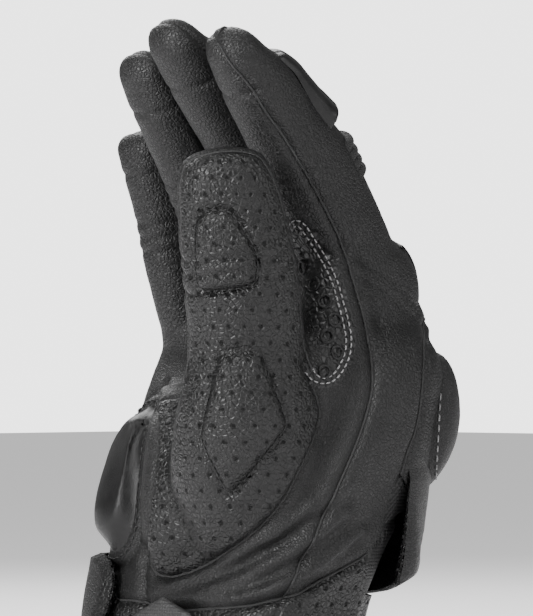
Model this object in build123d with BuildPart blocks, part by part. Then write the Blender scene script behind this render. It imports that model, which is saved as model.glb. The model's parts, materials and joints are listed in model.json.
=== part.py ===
"""Right-hand motorcycle glove: leather shells, hinged finger segments, hard sliders and a strap.

+Z runs from the wrist opening to the fingertips, -X is the palm side, +X the back of the hand,
-Y the thumb side and +Y the little-finger side.  The origin is the centre of the wrist opening.
"""

from build123d import *
from dataclasses import dataclass
from math import cos, radians, sin
import os

os.makedirs("parts", exist_ok=True)

# Driving dimensions, in millimetres and degrees
WALL = 2.4  # leather with its lining
SEAM_GAP = 0.2  # between two leather pieces sewn edge to edge
HINGE_GAP = 0.6  # between a segment's round end and the collar around it
COLLAR_WALL = 2.2  # collar around a knuckle
REACH = 60.0  # length of the cutters that free a segment's travel

CUFF_TOP = 44.0
PALM_TOP = 104.0
SIDE_PANEL_DEPTH = 15.0  # how far the side panels come round from each edge
MID_X = 15.0  # plane between palm leather and back leather

SKIN_GAP = 0.15  # between a skin and what lies on it
NEXT_STEP = 2.0  # how much slimmer a fingertip segment is than the one it turns in

SLIDER_THICKNESS = 3.0
SLIDER_SPAN = (9.0, 35.0)  # along the fingertip segment
RIB_COUNT = 4
RIB_PITCH = 3.4
RIB_WIDTH = 2.2
RIB_BASE = 0.9  # height of the cloth between the ribs
RIB_HEIGHT = 2.0
RIB_INNER = 5.0  # how far behind the digit's axis plane the ribs start
PAD_THICKNESS = 2.0

GUARD_CENTRE = (20.5, 130.0)  # X and Z of the knuckle guard's arc
GUARD_RADIUS = 21.0
GUARD_THICKNESS = 3.0
FOAM_THICKNESS = 2.0

STRAP_TILT = 25.0  # the strap rises towards the thumb side
STRAP_WIDTH = 16.0
STRAP_LENGTH = 30.0
STRAP_THICKNESS = 2.2
STRAP_POINT = 8.0  # how far its pointed end goes on
STRAP_START = Vector(-33.2, 20.4, 3.8)  # lower corner of its inner face, at the hinge
HOOK_THICKNESS = 1.6

# Rounded sections of the hand: height, palm side, back, thumb side, little-finger side, corner radius
CUFF_SECTIONS = [
    (0.0, -31.0, 26.0, -42.0, 45.0, 18.0),
    (23.0, -30.0, 28.0, -42.0, 46.0, 18.0),
    (CUFF_TOP - SEAM_GAP, -26.0, 34.0, -46.0, 44.0, 18.0),
]
PALM_SECTIONS = [
    (CUFF_TOP, -26.0, 34.0, -46.0, 44.0, 18.0),
    (70.0, -19.0, 42.0, -55.0, 48.0, 18.0),
    (PALM_TOP, 1.0, 41.0, -57.0, 50.0, 16.0),
]
ROOT_CORNER = 7.0  # corner radius of a finger root at its knuckle
OUTER_FOOT_CORNER = 12.0  # and where the outer two roots meet the palm
INNER_FOOT_CORNER = 9.0
ROOT_LEAN = 12.0

# Outlines of the sewn-on parts, drawn across the hand and up unless said otherwise
V_OUTLINE = [(0, 70), (9, -1), (-9, -1)]
FLAP_OUTLINE = [(-80, 40), (-66, 31), (20, 31), (32, 44), (32, 66), (10, 76), (-40, 76), (-80, 72)]
TAB_OUTLINE = [(30, 36), (36, 43), (80, 43), (80, 16), (40, 16)]
ANCHOR_OUTLINE = [(21.2, 3), (28, 17), (60, 11), (60, 1)]
WEB_OUTLINE = [(-22, 92), (-20, 118), (-8, 142), (4, 146), (12, 126), (14, 100), (6, 92)]
PATCH_OUTLINE = [(-16, 98), (-16, 116), (-6, 138), (0, 140), (5, 124), (4, 108), (-2, 98)]
UPPER_PAD_OUTLINE = [(-10.5, 124), (-11, 143), (-7, 149), (1, 149), (11, 138), (9.5, 126)]
LOWER_PAD_OUTLINE = [(-6, 106), (8, 106), (15, 87), (-3, 62), (-12, 81)]

# Lowest and highest face of each sewn-on part above the hand's leather
FLAP_LIFT = (2.2, 5.2)
TAB_LIFT = (0.6, 3.4)
FLANGE_LIFT = (0.15, 2.0)
PALM_SLIDER_LIFT = (2.15, 5.5)
BUMP_LIFT = (0.15, 4.5)
ANCHOR_LIFT = (0.15, 2.4)

FLANGE_HALF = (26.0, 18.0)  # half height and half width
PALM_SLIDER_HALF = (21.5, 13.5)
BUMP_HALF = (19.0, 17.0)
GUARD_ACROSS = (-48.0, 22.0)
GUARD_ANGLES = (-22, 30)
FOAM_ANGLES = (-20, 22)
WEB_THICKNESS = 3.0
PATCH_THICKNESS = 1.6
LINING_THICKNESS = 1.05


@dataclass
class Digit:
    """One finger or the thumb: knuckle hinge, two segments and their bends at rest."""

    name: str
    knuckle: Vector
    direction: Vector  # of the first segment
    across: Vector  # hinge direction; the back of the segment is direction x across turned outwards
    bend: float  # of the second segment against the first
    first: float  # hinge to hinge
    second: float  # hinge to fingertip
    breadth: float  # half, along the hinge
    depth: float  # half, palm side to back
    extend: float
    curl: float
    tip_extend: float
    tip_curl: float

    def knuckle_plane(self, turn=0.0):
        """Plane at the knuckle: x towards the back of the digit, z along it, flexed by turn."""
        across = self.across.normalized()
        along = self.direction.normalized().rotate(Axis((0, 0, 0), across), -turn)
        return Plane(origin=self.knuckle, x_dir=across.cross(along), z_dir=along)

    def joint_plane(self, turn=0.0):
        """The same at the middle hinge."""
        across = self.across.normalized()
        base = self.knuckle_plane()
        along = base.z_dir.rotate(Axis((0, 0, 0), across), -self.bend - turn)
        origin = base.origin + base.z_dir * self.first
        return Plane(origin=origin, x_dir=across.cross(along), z_dir=along)


def leaning(angle):
    """Direction of a finger that leans from straight up towards the palm side."""
    return Vector(-sin(radians(angle)), 0, cos(radians(angle)))


ACROSS = Vector(0, 1, 0)
THUMB_DIRECTION = Vector(-18, -10, 66)
THUMB_ACROSS = Vector(0.7071, -0.7071, 0.0857)
THUMB_BACK = Vector(-0.7071, -0.7071, 0)  # level direction that the back of the thumb faces

FINGERS = [
    Digit("index", Vector(20, -37, 128), leaning(36), ACROSS, 3, 52, 53, 12.6, 14.2, 20, 3, 10, 6),
    Digit("middle", Vector(21, -12, 132), leaning(34), ACROSS, 10.7, 51, 55, 11.9, 14.2, 20, 8, 12, 16),
    Digit("ring", Vector(19, 12, 128), leaning(33), ACROSS, 3.5, 47, 47, 11.5, 13.6, 20, 40, 10, 45),
    Digit("little", Vector(15, 35, 118), leaning(20), ACROSS, 9, 36, 32, 10.3, 12.4, 12, 45, 10, 50),
]
THUMB = Digit(
    "thumb", Vector(-35.2, -34.5, 112), THUMB_DIRECTION, THUMB_ACROSS, -3, 38, 25.5, 15.5, 13.5, 25, 2, 8, 3
)


def save(name, part):
    """Label a finished piece and write its STEP file."""
    part.label = name
    export_step(part, f"parts/{name}.step")


def hand_solid(sections, inset=0.0):
    """Solid through rounded rectangles, each smaller by inset all round."""
    with BuildPart() as solid:
        for height, low_x, high_x, low_y, high_y, corner in sections:
            with BuildSketch(Plane.XY.offset(height)):
                with Locations(((low_x + high_x) / 2, (low_y + high_y) / 2)):
                    RectangleRounded(high_x - low_x - 2 * inset, high_y - low_y - 2 * inset, corner - inset)
        loft(ruled=True)
    return solid.part


def layer(sections, lift):
    """Sheet all round the hand between two heights above its leather."""
    low, high = lift
    return without(hand_solid(sections, -high), hand_solid(sections, -low))


def oval_solid(stations, grow=0.0):
    """Solid through ellipses, each given by its plane, half depth and half breadth."""
    with BuildPart() as solid:
        for plane, half_depth, half_breadth in stations:
            with BuildSketch(plane):
                Ellipse(half_depth + grow, half_breadth + grow)
        loft(ruled=True)
    return solid.part


def without(solid, *tools):
    """The solid with each tool cut away."""
    with BuildPart() as rest:
        add(solid)
        for tool in tools:
            add(tool, mode=Mode.SUBTRACT)
    return rest.part


def within(solid, *limits):
    """The part of the solid that lies inside every limit."""
    with BuildPart() as rest:
        add(solid)
        for limit in limits:
            add(limit, mode=Mode.INTERSECT)
    return rest.part


def block(low, high):
    """Box between two corners."""
    with BuildPart() as box:
        middle = tuple((a + b) / 2 for a, b in zip(low, high))
        with Locations(Vector(middle)):
            Box(*[b - a for a, b in zip(low, high)])
    return box.part


def prism(plane, outline, start, length, corner=0.0):
    """Prism of a closed outline, from start to start + length along the plane's normal."""
    with BuildPart() as solid:
        with BuildSketch(plane.offset(start)):
            with BuildLine():
                Polyline(*outline, close=True)
            make_face()
        extrude(amount=length)
        if corner:
            fillet(solid.edges().filter_by(Axis((0, 0, 0), plane.z_dir)), corner)
    return solid.part


def oval_prism(plane, half_x, half_y, start, length):
    """Elliptical prism along the plane's normal."""
    with BuildPart() as solid:
        with BuildSketch(plane.offset(start)):
            Ellipse(half_x, half_y)
        extrude(amount=length)
    return solid.part


def hinge_barrel(plane, radius, half_breadth):
    """Cylinder along the hinge that lies in plane's y direction."""
    side = Plane(origin=plane.origin, x_dir=plane.x_dir, z_dir=plane.y_dir)
    with BuildPart() as barrel:
        with BuildSketch(side):
            Circle(radius)
        extrude(amount=half_breadth, both=True)
    return barrel.part


def travel_cutter(planes, radius, half_breadth):
    """Space that a segment's round end and body need at each of its hinge planes."""
    with BuildPart() as cutter:
        add(hinge_barrel(planes[0], radius, half_breadth))
        for plane in planes:
            with BuildSketch(plane):
                Rectangle(2 * radius, 2 * half_breadth)
            extrude(amount=REACH)
    return cutter.part


def rounded_start(solid, plane, radius):
    """The solid with its lower end turned to a barrel about the plane's hinge."""
    with BuildPart() as keep:
        add(hinge_barrel(plane, radius, 3 * radius))
        with BuildSketch(plane):
            Rectangle(6 * radius, 6 * radius)
        extrude(amount=2 * REACH)
    return within(solid, keep.part)


def half_space(plane, side):
    """Everything on one side of a plane's middle, short of the seam."""
    facing = plane.x_dir * side
    cut = Plane(origin=plane.origin + facing * SEAM_GAP / 2, x_dir=plane.z_dir, z_dir=facing)
    with BuildPart() as space:
        with BuildSketch(cut):
            Rectangle(400, 400)
        extrude(amount=120)
    return space.part


def first_stations(digit):
    """Ovals of the first segment, from below the knuckle to just short of the middle hinge."""
    base = digit.knuckle_plane()
    top_depth = digit.depth - NEXT_STEP + HINGE_GAP + COLLAR_WALL
    return [
        (base.offset(-digit.depth), digit.depth, digit.breadth),
        (base.offset(digit.first - 2), top_depth, digit.breadth - 0.2),
    ]


def second_stations(digit):
    """Ovals of the fingertip segment, tapering to its rounded end."""
    base = digit.joint_plane()
    depth = digit.depth - NEXT_STEP
    breadth = digit.breadth - 0.6
    length = digit.second
    taper = [(-depth, 1.0), (length * 0.4, 0.98), (length * 0.7, 0.9), (length * 0.87, 0.73)]
    taper += [(length * 0.96, 0.48), (length, 0.22)]
    return [(base.offset(s), depth * k, breadth * k) for s, k in taper]


def tip_travel(digit):
    """Room that the fingertip segment needs over its whole travel."""
    turns = [-digit.tip_extend, 0.0, digit.tip_curl]
    radius = digit.depth - NEXT_STEP + HINGE_GAP
    return travel_cutter([digit.joint_plane(turn) for turn in turns], radius, digit.breadth + 6)


def first_segment(digit):
    """Hollow tube from the knuckle to the middle hinge, round at its lower end."""
    outer = rounded_start(oval_solid(first_stations(digit)), digit.knuckle_plane(), digit.depth)
    low, high = oval_solid_ends(first_stations(digit), WALL)
    return without(outer, oval_solid([low, high]), tip_travel(digit))


def oval_solid_ends(stations, wall):
    """The first and last ovals drawn in by the wall and moved past the solid's ends."""
    (low, low_x, low_y), (high, high_x, high_y) = stations[0], stations[-1]
    return (low.offset(-1), low_x - wall, low_y - wall), (high.offset(1), high_x - wall, high_y - wall)


def second_segment(digit):
    """Hollow fingertip from the middle hinge, closed and rounded at its end."""
    stations = second_stations(digit)
    base = digit.joint_plane()
    outer = rounded_start(oval_solid(stations), base, digit.depth - NEXT_STEP)
    hollow = [(base.offset(-digit.depth - 1), stations[0][1] - WALL, stations[0][2] - WALL)]
    hollow += [(plane.offset(-0.5 * WALL), x - WALL, y - WALL) for plane, x, y in stations[1:5]]
    return without(outer, oval_solid(hollow))


def skin_patch(stations, low, high, limit):
    """Sheet between two heights above an oval skin, kept where it lies within the limit."""
    return within(without(oval_solid(stations, high), oval_solid(stations, low)), limit)


def back_window(plane, start, end, half_breadth, inner=2.0):
    """Block over the back of a segment between two stations."""
    with BuildPart() as window:
        with BuildSketch(plane.offset(start)):
            with Locations((inner + REACH / 2, 0)):
                Rectangle(REACH, 2 * half_breadth)
        extrude(amount=end - start)
    return window.part


def finger_slider(digit):
    """Hard shell over the back of the fingertip segment."""
    window = back_window(digit.joint_plane(), *slider_span(digit), digit.breadth * 0.8, 4)
    return skin_patch(second_stations(digit), SKIN_GAP, SLIDER_THICKNESS, window)


def slider_span(digit):
    """Start and end of the slider along the fingertip segment."""
    scale = digit.second / FINGERS[0].second
    return SLIDER_SPAN[0] * scale, SLIDER_SPAN[1] * scale


def accordion(digit):
    """Ribbed stretch panel across the back, just below the middle hinge."""
    plane = digit.knuckle_plane()
    end = digit.first - 3
    start = end - RIB_COUNT * RIB_PITCH
    stations = first_stations(digit)
    half_breadth = digit.breadth * 0.75
    with BuildPart() as panel:
        base = back_window(plane, start, end, half_breadth, RIB_INNER)
        add(skin_patch(stations, SKIN_GAP, RIB_BASE, base))
        for i in range(RIB_COUNT):
            low = start + (i + 0.5) * RIB_PITCH - RIB_WIDTH / 2
            window = back_window(plane, low, low + RIB_WIDTH, half_breadth, RIB_INNER)
            add(skin_patch(stations, SKIN_GAP, RIB_HEIGHT, window))
    return without(panel.part, tip_travel(digit))


def collar_solid(digit, inset=0.0):
    """Root of a finger, from the top of the palm up to just under its knuckle hinge."""
    height, low_x, high_x, low_y, high_y, corner = PALM_SECTIONS[-1]
    edges = [(FINGERS[i].knuckle.Y + FINGERS[i + 1].knuckle.Y) / 2 for i in range(3)]
    place = FINGERS.index(digit)
    foot_low = low_y if place == 0 else edges[place - 1] + SEAM_GAP / 2
    foot_high = high_y if place == 3 else edges[place] - SEAM_GAP / 2
    top_lean = leaning(ROOT_LEAN)
    top = Plane(origin=digit.knuckle, x_dir=ACROSS.cross(top_lean), z_dir=top_lean)
    half_depth = digit.depth + HINGE_GAP + COLLAR_WALL - inset
    with BuildPart() as solid:
        with BuildSketch(Plane.XY.offset(height)):
            with Locations(((low_x + high_x) / 2, (foot_low + foot_high) / 2)):
                foot_corner = OUTER_FOOT_CORNER if place in (0, 3) else INNER_FOOT_CORNER
                foot_x = high_x - low_x - 2 * inset
                RectangleRounded(foot_x, foot_high - foot_low - 2 * inset, foot_corner - inset)
        with BuildSketch(top.offset(-1)):
            RectangleRounded(2 * half_depth, 2 * (digit.breadth - inset), ROOT_CORNER - inset)
        loft(ruled=True)
    return solid.part


def knuckle_collar(digit):
    """Hollow finger root, cut back to free the first segment."""
    turns = [-digit.extend, 0.0, digit.curl]
    freed = travel_cutter(
        [digit.knuckle_plane(turn) for turn in turns], digit.depth + HINGE_GAP, digit.breadth + 8
    )
    return without(collar_solid(digit), collar_solid(digit, WALL), freed)


def thenar_stations(grow=0.0):
    """Ovals of the thumb's fleshy base, from the wrist up to the thumb's knuckle."""
    top = THUMB.knuckle_plane()
    depth = THUMB.depth + HINGE_GAP + COLLAR_WALL
    low = Plane(origin=(-11, -18, CUFF_TOP + 2), x_dir=THUMB_BACK)
    middle = Plane(origin=(-19, -24, 72), x_dir=THUMB_BACK)
    return [
        (low, 19.0 + grow, 18.0 + grow),
        (middle, 24.0 + grow, 25.0 + grow),
        (top.offset(-14), depth + grow + 1.5, THUMB.breadth + 4 + grow),
        (top.offset(-1), depth + grow, THUMB.breadth + 1 + grow),
    ]


def thenar():
    """Hollow thenar piece with its collar freed for the thumb."""
    turns = [-THUMB.extend, 0.0, THUMB.curl]
    freed = travel_cutter(
        [THUMB.knuckle_plane(turn) for turn in turns], THUMB.depth + HINGE_GAP, THUMB.breadth + 12
    )
    return without(oval_solid(thenar_stations()), thenar_cavity(), freed)


def thenar_cavity():
    """Room for the base of the thumb, open to the palm and the thumb."""
    stations = thenar_stations(-WALL)
    top_plane, top_x, top_y = stations[-1]
    return oval_solid(stations[:-1] + [(top_plane.offset(1.5), top_x, top_y)])


def arc_plate(centre, inner, outer, start_angle, end_angle, low_y, high_y):
    """Part of a ring about a line along Y, between two angles from +X towards +Z."""
    side = Plane(origin=(centre[0], low_y, centre[1]), x_dir=(1, 0, 0), z_dir=(0, -1, 0))
    with BuildPart() as plate:
        with BuildSketch(side):
            with BuildLine():
                CenterArc((0, 0), inner, start_angle, end_angle - start_angle)
                CenterArc((0, 0), outer, start_angle, end_angle - start_angle)
                for angle in (start_angle, end_angle):
                    ray = Vector(cos(radians(angle)), sin(radians(angle)))
                    Line(ray * inner, ray * outer)
            make_face()
        extrude(amount=-(high_y - low_y))
    return plate.part


ALL_SECTIONS = CUFF_SECTIONS[:2] + PALM_SECTIONS
palm_outer = hand_solid(PALM_SECTIONS)
palm_inner = hand_solid(PALM_SECTIONS, WALL)
thenar_outer = oval_solid(thenar_stations())
thenar_hole = thenar_cavity()

# V opening at the wrist, on the corner between the thumb side and the back
opening_plane = Plane(origin=(0, 0, 0), x_dir=(1, 1, 0), z_dir=(1, -1, 0))
v_opening = prism(opening_plane, V_OUTLINE, 30, REACH)

# Palm, back and sides of the hand
_, palm_low_x, palm_high_x, palm_low_y, palm_high_y, _ = PALM_SECTIONS[-1]
thumb_seam = palm_low_y + SIDE_PANEL_DEPTH
little_seam = palm_high_y - SIDE_PANEL_DEPTH
hand_zones = {
    "palm_panel": ((-80, thumb_seam, 0), (MID_X, little_seam, PALM_TOP - SEAM_GAP)),
    "back_panel": ((MID_X + SEAM_GAP, thumb_seam, 0), (80, little_seam, PALM_TOP - SEAM_GAP)),
    "thumb_side_panel": ((-80, -90, 0), (80, thumb_seam - SEAM_GAP, PALM_TOP - SEAM_GAP)),
    "little_side_strip": ((-80, little_seam + SEAM_GAP, 0), (80, 90, PALM_TOP - SEAM_GAP)),
}
palm_shell = without(palm_outer, palm_inner, thenar_hole, v_opening)
for name, (low, high) in hand_zones.items():
    save(name, within(palm_shell, block(low, high)))
thenar_shell = without(thenar(), palm_outer)
save("thenar_panel", thenar_shell)

# Linings of the palm and the back
lining_inner = hand_solid(PALM_SECTIONS, WALL + SKIN_GAP + LINING_THICKNESS)
lining_room = without(hand_solid(PALM_SECTIONS, WALL + SKIN_GAP), lining_inner)
save("palm_lining", without(within(lining_room, block((-80, 4, 46), (4, 33, 102))), thenar_outer))
save("back_lining", within(lining_room, block((26, -26, 46), (80, 33, 102))))

# Cuff
cuff_shell = without(hand_solid(CUFF_SECTIONS), hand_solid(CUFF_SECTIONS, WALL), v_opening)
palm_half = [(-80, 90), (-2, 90), (-2, 2), (88, -88), (88, -100), (-80, -100)]
back_half = [(-2 + SEAM_GAP, 90), (-2 + SEAM_GAP, 2), (88 + SEAM_GAP, -88), (100, -88), (100, 90)]
cuff_palm = within(cuff_shell, prism(Plane.XY, palm_half, 0, 60))
save("cuff_palm_panel", without(cuff_palm, thenar_outer))
save("cuff_back_panel", within(cuff_shell, prism(Plane.XY, back_half, 0, 60)))
flap = within(layer(ALL_SECTIONS, FLAP_LIFT), prism(Plane.YZ, FLAP_OUTLINE, 12, REACH + 20))
save("cuff_flap", flap)
tab_room = prism(Plane.YZ, TAB_OUTLINE, -REACH, REACH + 2)
save("little_cuff_tab", within(layer(ALL_SECTIONS, TAB_LIFT), tab_room))

# Palm slider on its flange, on the heel of the palm at the little-finger side
slider_plane = Plane(origin=(-12, 32, 70), x_dir=(0, 0, 1), z_dir=(-0.906, 0.42, 0))
flange_room = oval_prism(slider_plane, *FLANGE_HALF, 0, REACH)
save("palm_slider_flange", within(layer(ALL_SECTIONS, FLANGE_LIFT), flange_room))
slider_room = oval_prism(slider_plane, *PALM_SLIDER_HALF, 0, REACH)
save("palm_slider", within(layer(ALL_SECTIONS, PALM_SLIDER_LIFT), slider_room))

# Padded bump over the wrist bone
bump_plane = Plane(origin=(0, 0, 84), x_dir=(0, 0, 1), z_dir=(1, -0.8, 0))
bump = within(layer(ALL_SECTIONS, BUMP_LIFT), oval_prism(bump_plane, *BUMP_HALF, 20, REACH + 20))
save("wrist_bump", without(bump, hand_solid(ALL_SECTIONS, -0.1), flap))

# Finger roots and the knuckle guard over them
collars = [knuckle_collar(digit) for digit in FINGERS]
for digit, collar in zip(FINGERS, collars):
    save(f"{digit.name}_root", collar)
guard_low, guard_high = GUARD_ACROSS
foam_outer = GUARD_RADIUS - SKIN_GAP
foam_inner = foam_outer - FOAM_THICKNESS
foam = arc_plate(GUARD_CENTRE, foam_inner, foam_outer, *FOAM_ANGLES, guard_low + 2, guard_high - 2)
save("knuckle_foam", without(foam, *[collar_solid(digit) for digit in FINGERS]))
guard_outer = GUARD_RADIUS + GUARD_THICKNESS
save("knuckle_guard", arc_plate(GUARD_CENTRE, GUARD_RADIUS, guard_outer, *GUARD_ANGLES, *GUARD_ACROSS))

# Web between thumb and index finger, with its grip patch
web_plane = Plane(origin=(0, -50.4, 0), x_dir=(1, 0, 0), z_dir=(0, -1, 0))
web = prism(web_plane, WEB_OUTLINE, 0, WEB_THICKNESS)
save("web_panel", without(web, palm_outer, thenar_outer, collar_solid(FINGERS[0])))
patch = prism(web_plane, PATCH_OUTLINE, WEB_THICKNESS + SKIN_GAP, PATCH_THICKNESS)
save("web_grip_patch", without(patch, hand_solid(PALM_SECTIONS, -SKIN_GAP), collar_solid(FINGERS[0])))

# Digits
for digit in FINGERS + [THUMB]:
    first = first_segment(digit)
    second = second_segment(digit)
    for side, word in ((-1, "front"), (1, "back")):
        save(f"{digit.name}_near_{word}", within(first, half_space(digit.knuckle_plane(), side)))
        save(f"{digit.name}_tip_{word}", within(second, half_space(digit.joint_plane(), side)))
for digit in FINGERS:
    save(f"{digit.name}_slider", finger_slider(digit))
    save(f"{digit.name}_accordion", accordion(digit))

# Raised pads of the thumb
thumb_view = Plane(origin=(-30, -30, 0), x_dir=(0.7071, -0.7071, 0), z_dir=THUMB_BACK)
upper_room = within(prism(thumb_view, UPPER_PAD_OUTLINE, 0, REACH), half_space(THUMB.knuckle_plane(), 1))
save("thumb_upper_pad", skin_patch(first_stations(THUMB), SKIN_GAP, PAD_THICKNESS, upper_room))
lower_sheet = without(oval_solid(thenar_stations(PAD_THICKNESS)), oval_solid(thenar_stations(SKIN_GAP)))
save("thumb_lower_pad", within(lower_sheet, prism(thumb_view, LOWER_PAD_OUTLINE, -8, REACH)))

# Strap: tilted tab with a pointed end, hook pad under it and a fixed anchor beyond its hinge
strap_run = Vector(0, -cos(radians(STRAP_TILT)), sin(radians(STRAP_TILT)))
strap_plane = Plane(origin=STRAP_START, x_dir=strap_run, z_dir=(-1, 0, 0))
strap_outline = [(0, 0), (0, STRAP_WIDTH), (STRAP_LENGTH, STRAP_WIDTH)]
strap_outline += [(STRAP_LENGTH + STRAP_POINT, 5), (STRAP_LENGTH, 0)]
save("strap", prism(strap_plane, strap_outline, 0, STRAP_THICKNESS))
with BuildPart() as hook_pad:
    with BuildSketch(strap_plane.offset(-HOOK_THICKNESS - SKIN_GAP)):
        with Locations((STRAP_LENGTH / 2 + 3, STRAP_WIDTH / 2)):
            Rectangle(STRAP_LENGTH - 10, STRAP_WIDTH - 4)
    extrude(amount=HOOK_THICKNESS)
save("hook_pad", hook_pad.part)
anchor_room = prism(Plane.YZ, ANCHOR_OUTLINE, -REACH, REACH + 5)
save("strap_anchor", within(layer(CUFF_SECTIONS, ANCHOR_LIFT), anchor_room))
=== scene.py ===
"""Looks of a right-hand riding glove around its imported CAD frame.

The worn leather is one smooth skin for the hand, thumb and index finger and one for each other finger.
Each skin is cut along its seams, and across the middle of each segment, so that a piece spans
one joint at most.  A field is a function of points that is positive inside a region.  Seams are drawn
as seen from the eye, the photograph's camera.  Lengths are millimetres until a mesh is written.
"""
import functools
import itertools
import json
import math

import bpy
import numpy as np
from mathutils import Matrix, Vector


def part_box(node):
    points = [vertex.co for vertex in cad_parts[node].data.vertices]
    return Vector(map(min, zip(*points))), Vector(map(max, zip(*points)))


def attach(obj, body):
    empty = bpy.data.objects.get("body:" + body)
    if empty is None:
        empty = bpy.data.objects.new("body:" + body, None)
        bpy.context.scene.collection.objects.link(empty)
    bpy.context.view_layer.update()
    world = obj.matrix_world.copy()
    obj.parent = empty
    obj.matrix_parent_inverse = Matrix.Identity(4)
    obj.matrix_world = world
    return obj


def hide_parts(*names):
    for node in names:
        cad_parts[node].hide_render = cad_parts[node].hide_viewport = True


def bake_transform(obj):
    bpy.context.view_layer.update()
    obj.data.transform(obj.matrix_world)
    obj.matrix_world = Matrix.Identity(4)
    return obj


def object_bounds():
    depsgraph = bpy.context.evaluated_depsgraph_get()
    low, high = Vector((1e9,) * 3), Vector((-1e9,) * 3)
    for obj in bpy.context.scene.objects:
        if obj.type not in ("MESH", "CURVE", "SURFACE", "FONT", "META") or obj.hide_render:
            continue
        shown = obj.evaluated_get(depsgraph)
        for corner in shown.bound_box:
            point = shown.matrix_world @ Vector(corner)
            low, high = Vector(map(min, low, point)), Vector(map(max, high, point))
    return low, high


MM = 0.001
X, Y, Z = np.eye(3)
VOXEL = 1.15  # spacing of the skins' points
FINGERS = ("index", "middle", "ring", "little")
LEATHER_THICKNESS = 1.8
FULL_HOLLOW = 0.32  # depth of a crease or other hollow whose painted shade is as dark as it gets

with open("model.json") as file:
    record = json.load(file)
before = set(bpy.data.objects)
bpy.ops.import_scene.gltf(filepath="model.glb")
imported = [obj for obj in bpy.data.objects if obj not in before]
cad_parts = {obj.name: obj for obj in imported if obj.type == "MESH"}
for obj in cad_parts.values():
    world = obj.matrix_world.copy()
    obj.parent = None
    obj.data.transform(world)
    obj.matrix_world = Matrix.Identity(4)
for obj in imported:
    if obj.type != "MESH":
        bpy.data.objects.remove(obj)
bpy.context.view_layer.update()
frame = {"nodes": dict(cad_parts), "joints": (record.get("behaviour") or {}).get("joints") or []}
joints = {joint["name"]: joint for joint in frame["joints"]}


# ---- frame

def read(items, field, width=3, kind=float):
    """One field of a mesh's vertices or triangles, in rows."""
    values = np.empty(len(items) * width, kind)
    items.foreach_get(field, values)
    return values.reshape(-1, width)


def add(name, data):
    """New object in the scene."""
    obj = bpy.data.objects.new(name, data)
    bpy.context.scene.collection.objects.link(obj)
    return obj


def node_points(*names):
    """All the corners of some CAD nodes."""
    return np.concatenate([read(frame["nodes"][name].data.vertices, "co") for name in names]) / MM


def unit(v):
    v = np.asarray(v, float)
    return v / np.linalg.norm(v, axis=-1, keepdims=True)


class Digit:
    """One finger or the thumb at rest: hinges, lengths, directions and half sizes."""

    def __init__(self, name):
        self.name = name
        knuckle, middle = (joints[f"{name}_{joint}"] for joint in ("knuckle", "middle_joint"))
        self.knuckle, self.middle = (np.array(joint["pos_m"]) / MM for joint in (knuckle, middle))
        self.side = -unit(knuckle["axis"])
        self.near = np.linalg.norm(self.middle - self.knuckle)
        self.along_near = (self.middle - self.knuckle) / self.near
        ends = node_points(f"{name}_tip_front", f"{name}_tip_back") - self.middle
        self.along_tip = unit(ends[np.argsort(ends @ self.along_near)[-60:]].mean(0))
        self.tip = (ends @ self.along_tip).max()
        self.back_near = np.cross(self.side, self.along_near)
        self.back_tip = np.cross(self.side, self.along_tip)
        shell = node_points(f"{name}_near_front", f"{name}_near_back") - self.knuckle
        self.breadth = np.ptp(shell @ self.side) / 2
        # extra height of the back, by length along the digit
        swell = ((0, 0), (18, 2.2), (self.near - 4, 4.0), (self.near + 16, 0.6), (90, 0))
        self.swell = () if name == "thumb" else swell
        low = shell[np.abs(shell @ self.along_near - 6) < 6]
        self.depth = np.ptp(low @ self.back_near) / 2 if len(low) > 20 else self.breadth * 1.15

    def place(self, p):
        """Length along the digit, height towards its back, and shift across it."""
        a = p - self.knuckle
        b = p - self.middle
        s_near, s_tip = a @ self.along_near, b @ self.along_tip + self.near
        w = np.clip((s_near - self.near + 6) / 12, 0, 1)
        s = s_near * (1 - w) + s_tip * w
        h = (a @ self.back_near) * (1 - w) + (b @ self.back_tip) * w
        return s, h, a @ self.side

    def path(self, s):
        """Centre, tangent and back direction at some lengths, rounded at the middle hinge."""
        def bent(t):
            near = np.minimum(t, self.near)[:, None] * self.along_near
            return self.knuckle + near + np.maximum(t - self.near, 0)[:, None] * self.along_tip

        spread = np.linspace(-7, 7, 15)
        centre = np.mean([bent(s + d) for d in spread], axis=0)
        tangent = unit(np.mean([bent(s + d + 0.5) - bent(s + d - 0.5) for d in spread], axis=0))
        return centre, tangent, np.cross(self.side, tangent)


digits = {name: Digit(name) for name in FINGERS + ("thumb",)}

# The glove as seen from in front of its palm and thumb: millimetres across and up
EYE_AZIMUTH = math.radians(-45)
EYE_DISTANCE = 2600.0
EYE_ACROSS, EYE_HEIGHT = 8.5, 122.9
VIEW_HEIGHT = 198.7
RIGHT = np.array([math.cos(EYE_AZIMUTH), math.sin(EYE_AZIMUTH), 0])
TOWARDS = np.array([math.sin(EYE_AZIMUTH), -math.cos(EYE_AZIMUTH), 0])


def seen(p):
    """Across, up and towards the eye."""
    near = p @ TOWARDS
    k = EYE_DISTANCE / (EYE_DISTANCE - near)
    across = EYE_ACROSS + (p @ RIGHT - EYE_ACROSS) * k
    up = EYE_HEIGHT + (p[..., 2] - EYE_HEIGHT) * k
    return np.stack([across, up], -1), near


# ---- plane outlines

def rounded(outline, times=2, closed=True, reach=1e9):
    """Outline with its corners cut again and again, at first no further than a reach."""
    line = np.asarray(outline, float)
    for turn in range(times):
        after = np.roll(line, -1, axis=0) if closed else line[1:]
        before = line if closed else line[:-1]
        length = np.linalg.norm(after - before, axis=1, keepdims=True)
        share = np.minimum(0.25, reach / length) if turn == 0 else 0.25
        near_end = before * (1 - share) + after * share
        far_end = before * share + after * (1 - share)
        cut = np.stack([near_end, far_end], 1).reshape(-1, 2)
        line = cut if closed else np.concatenate([line[:1], cut, line[-1:]])
    return line


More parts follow.
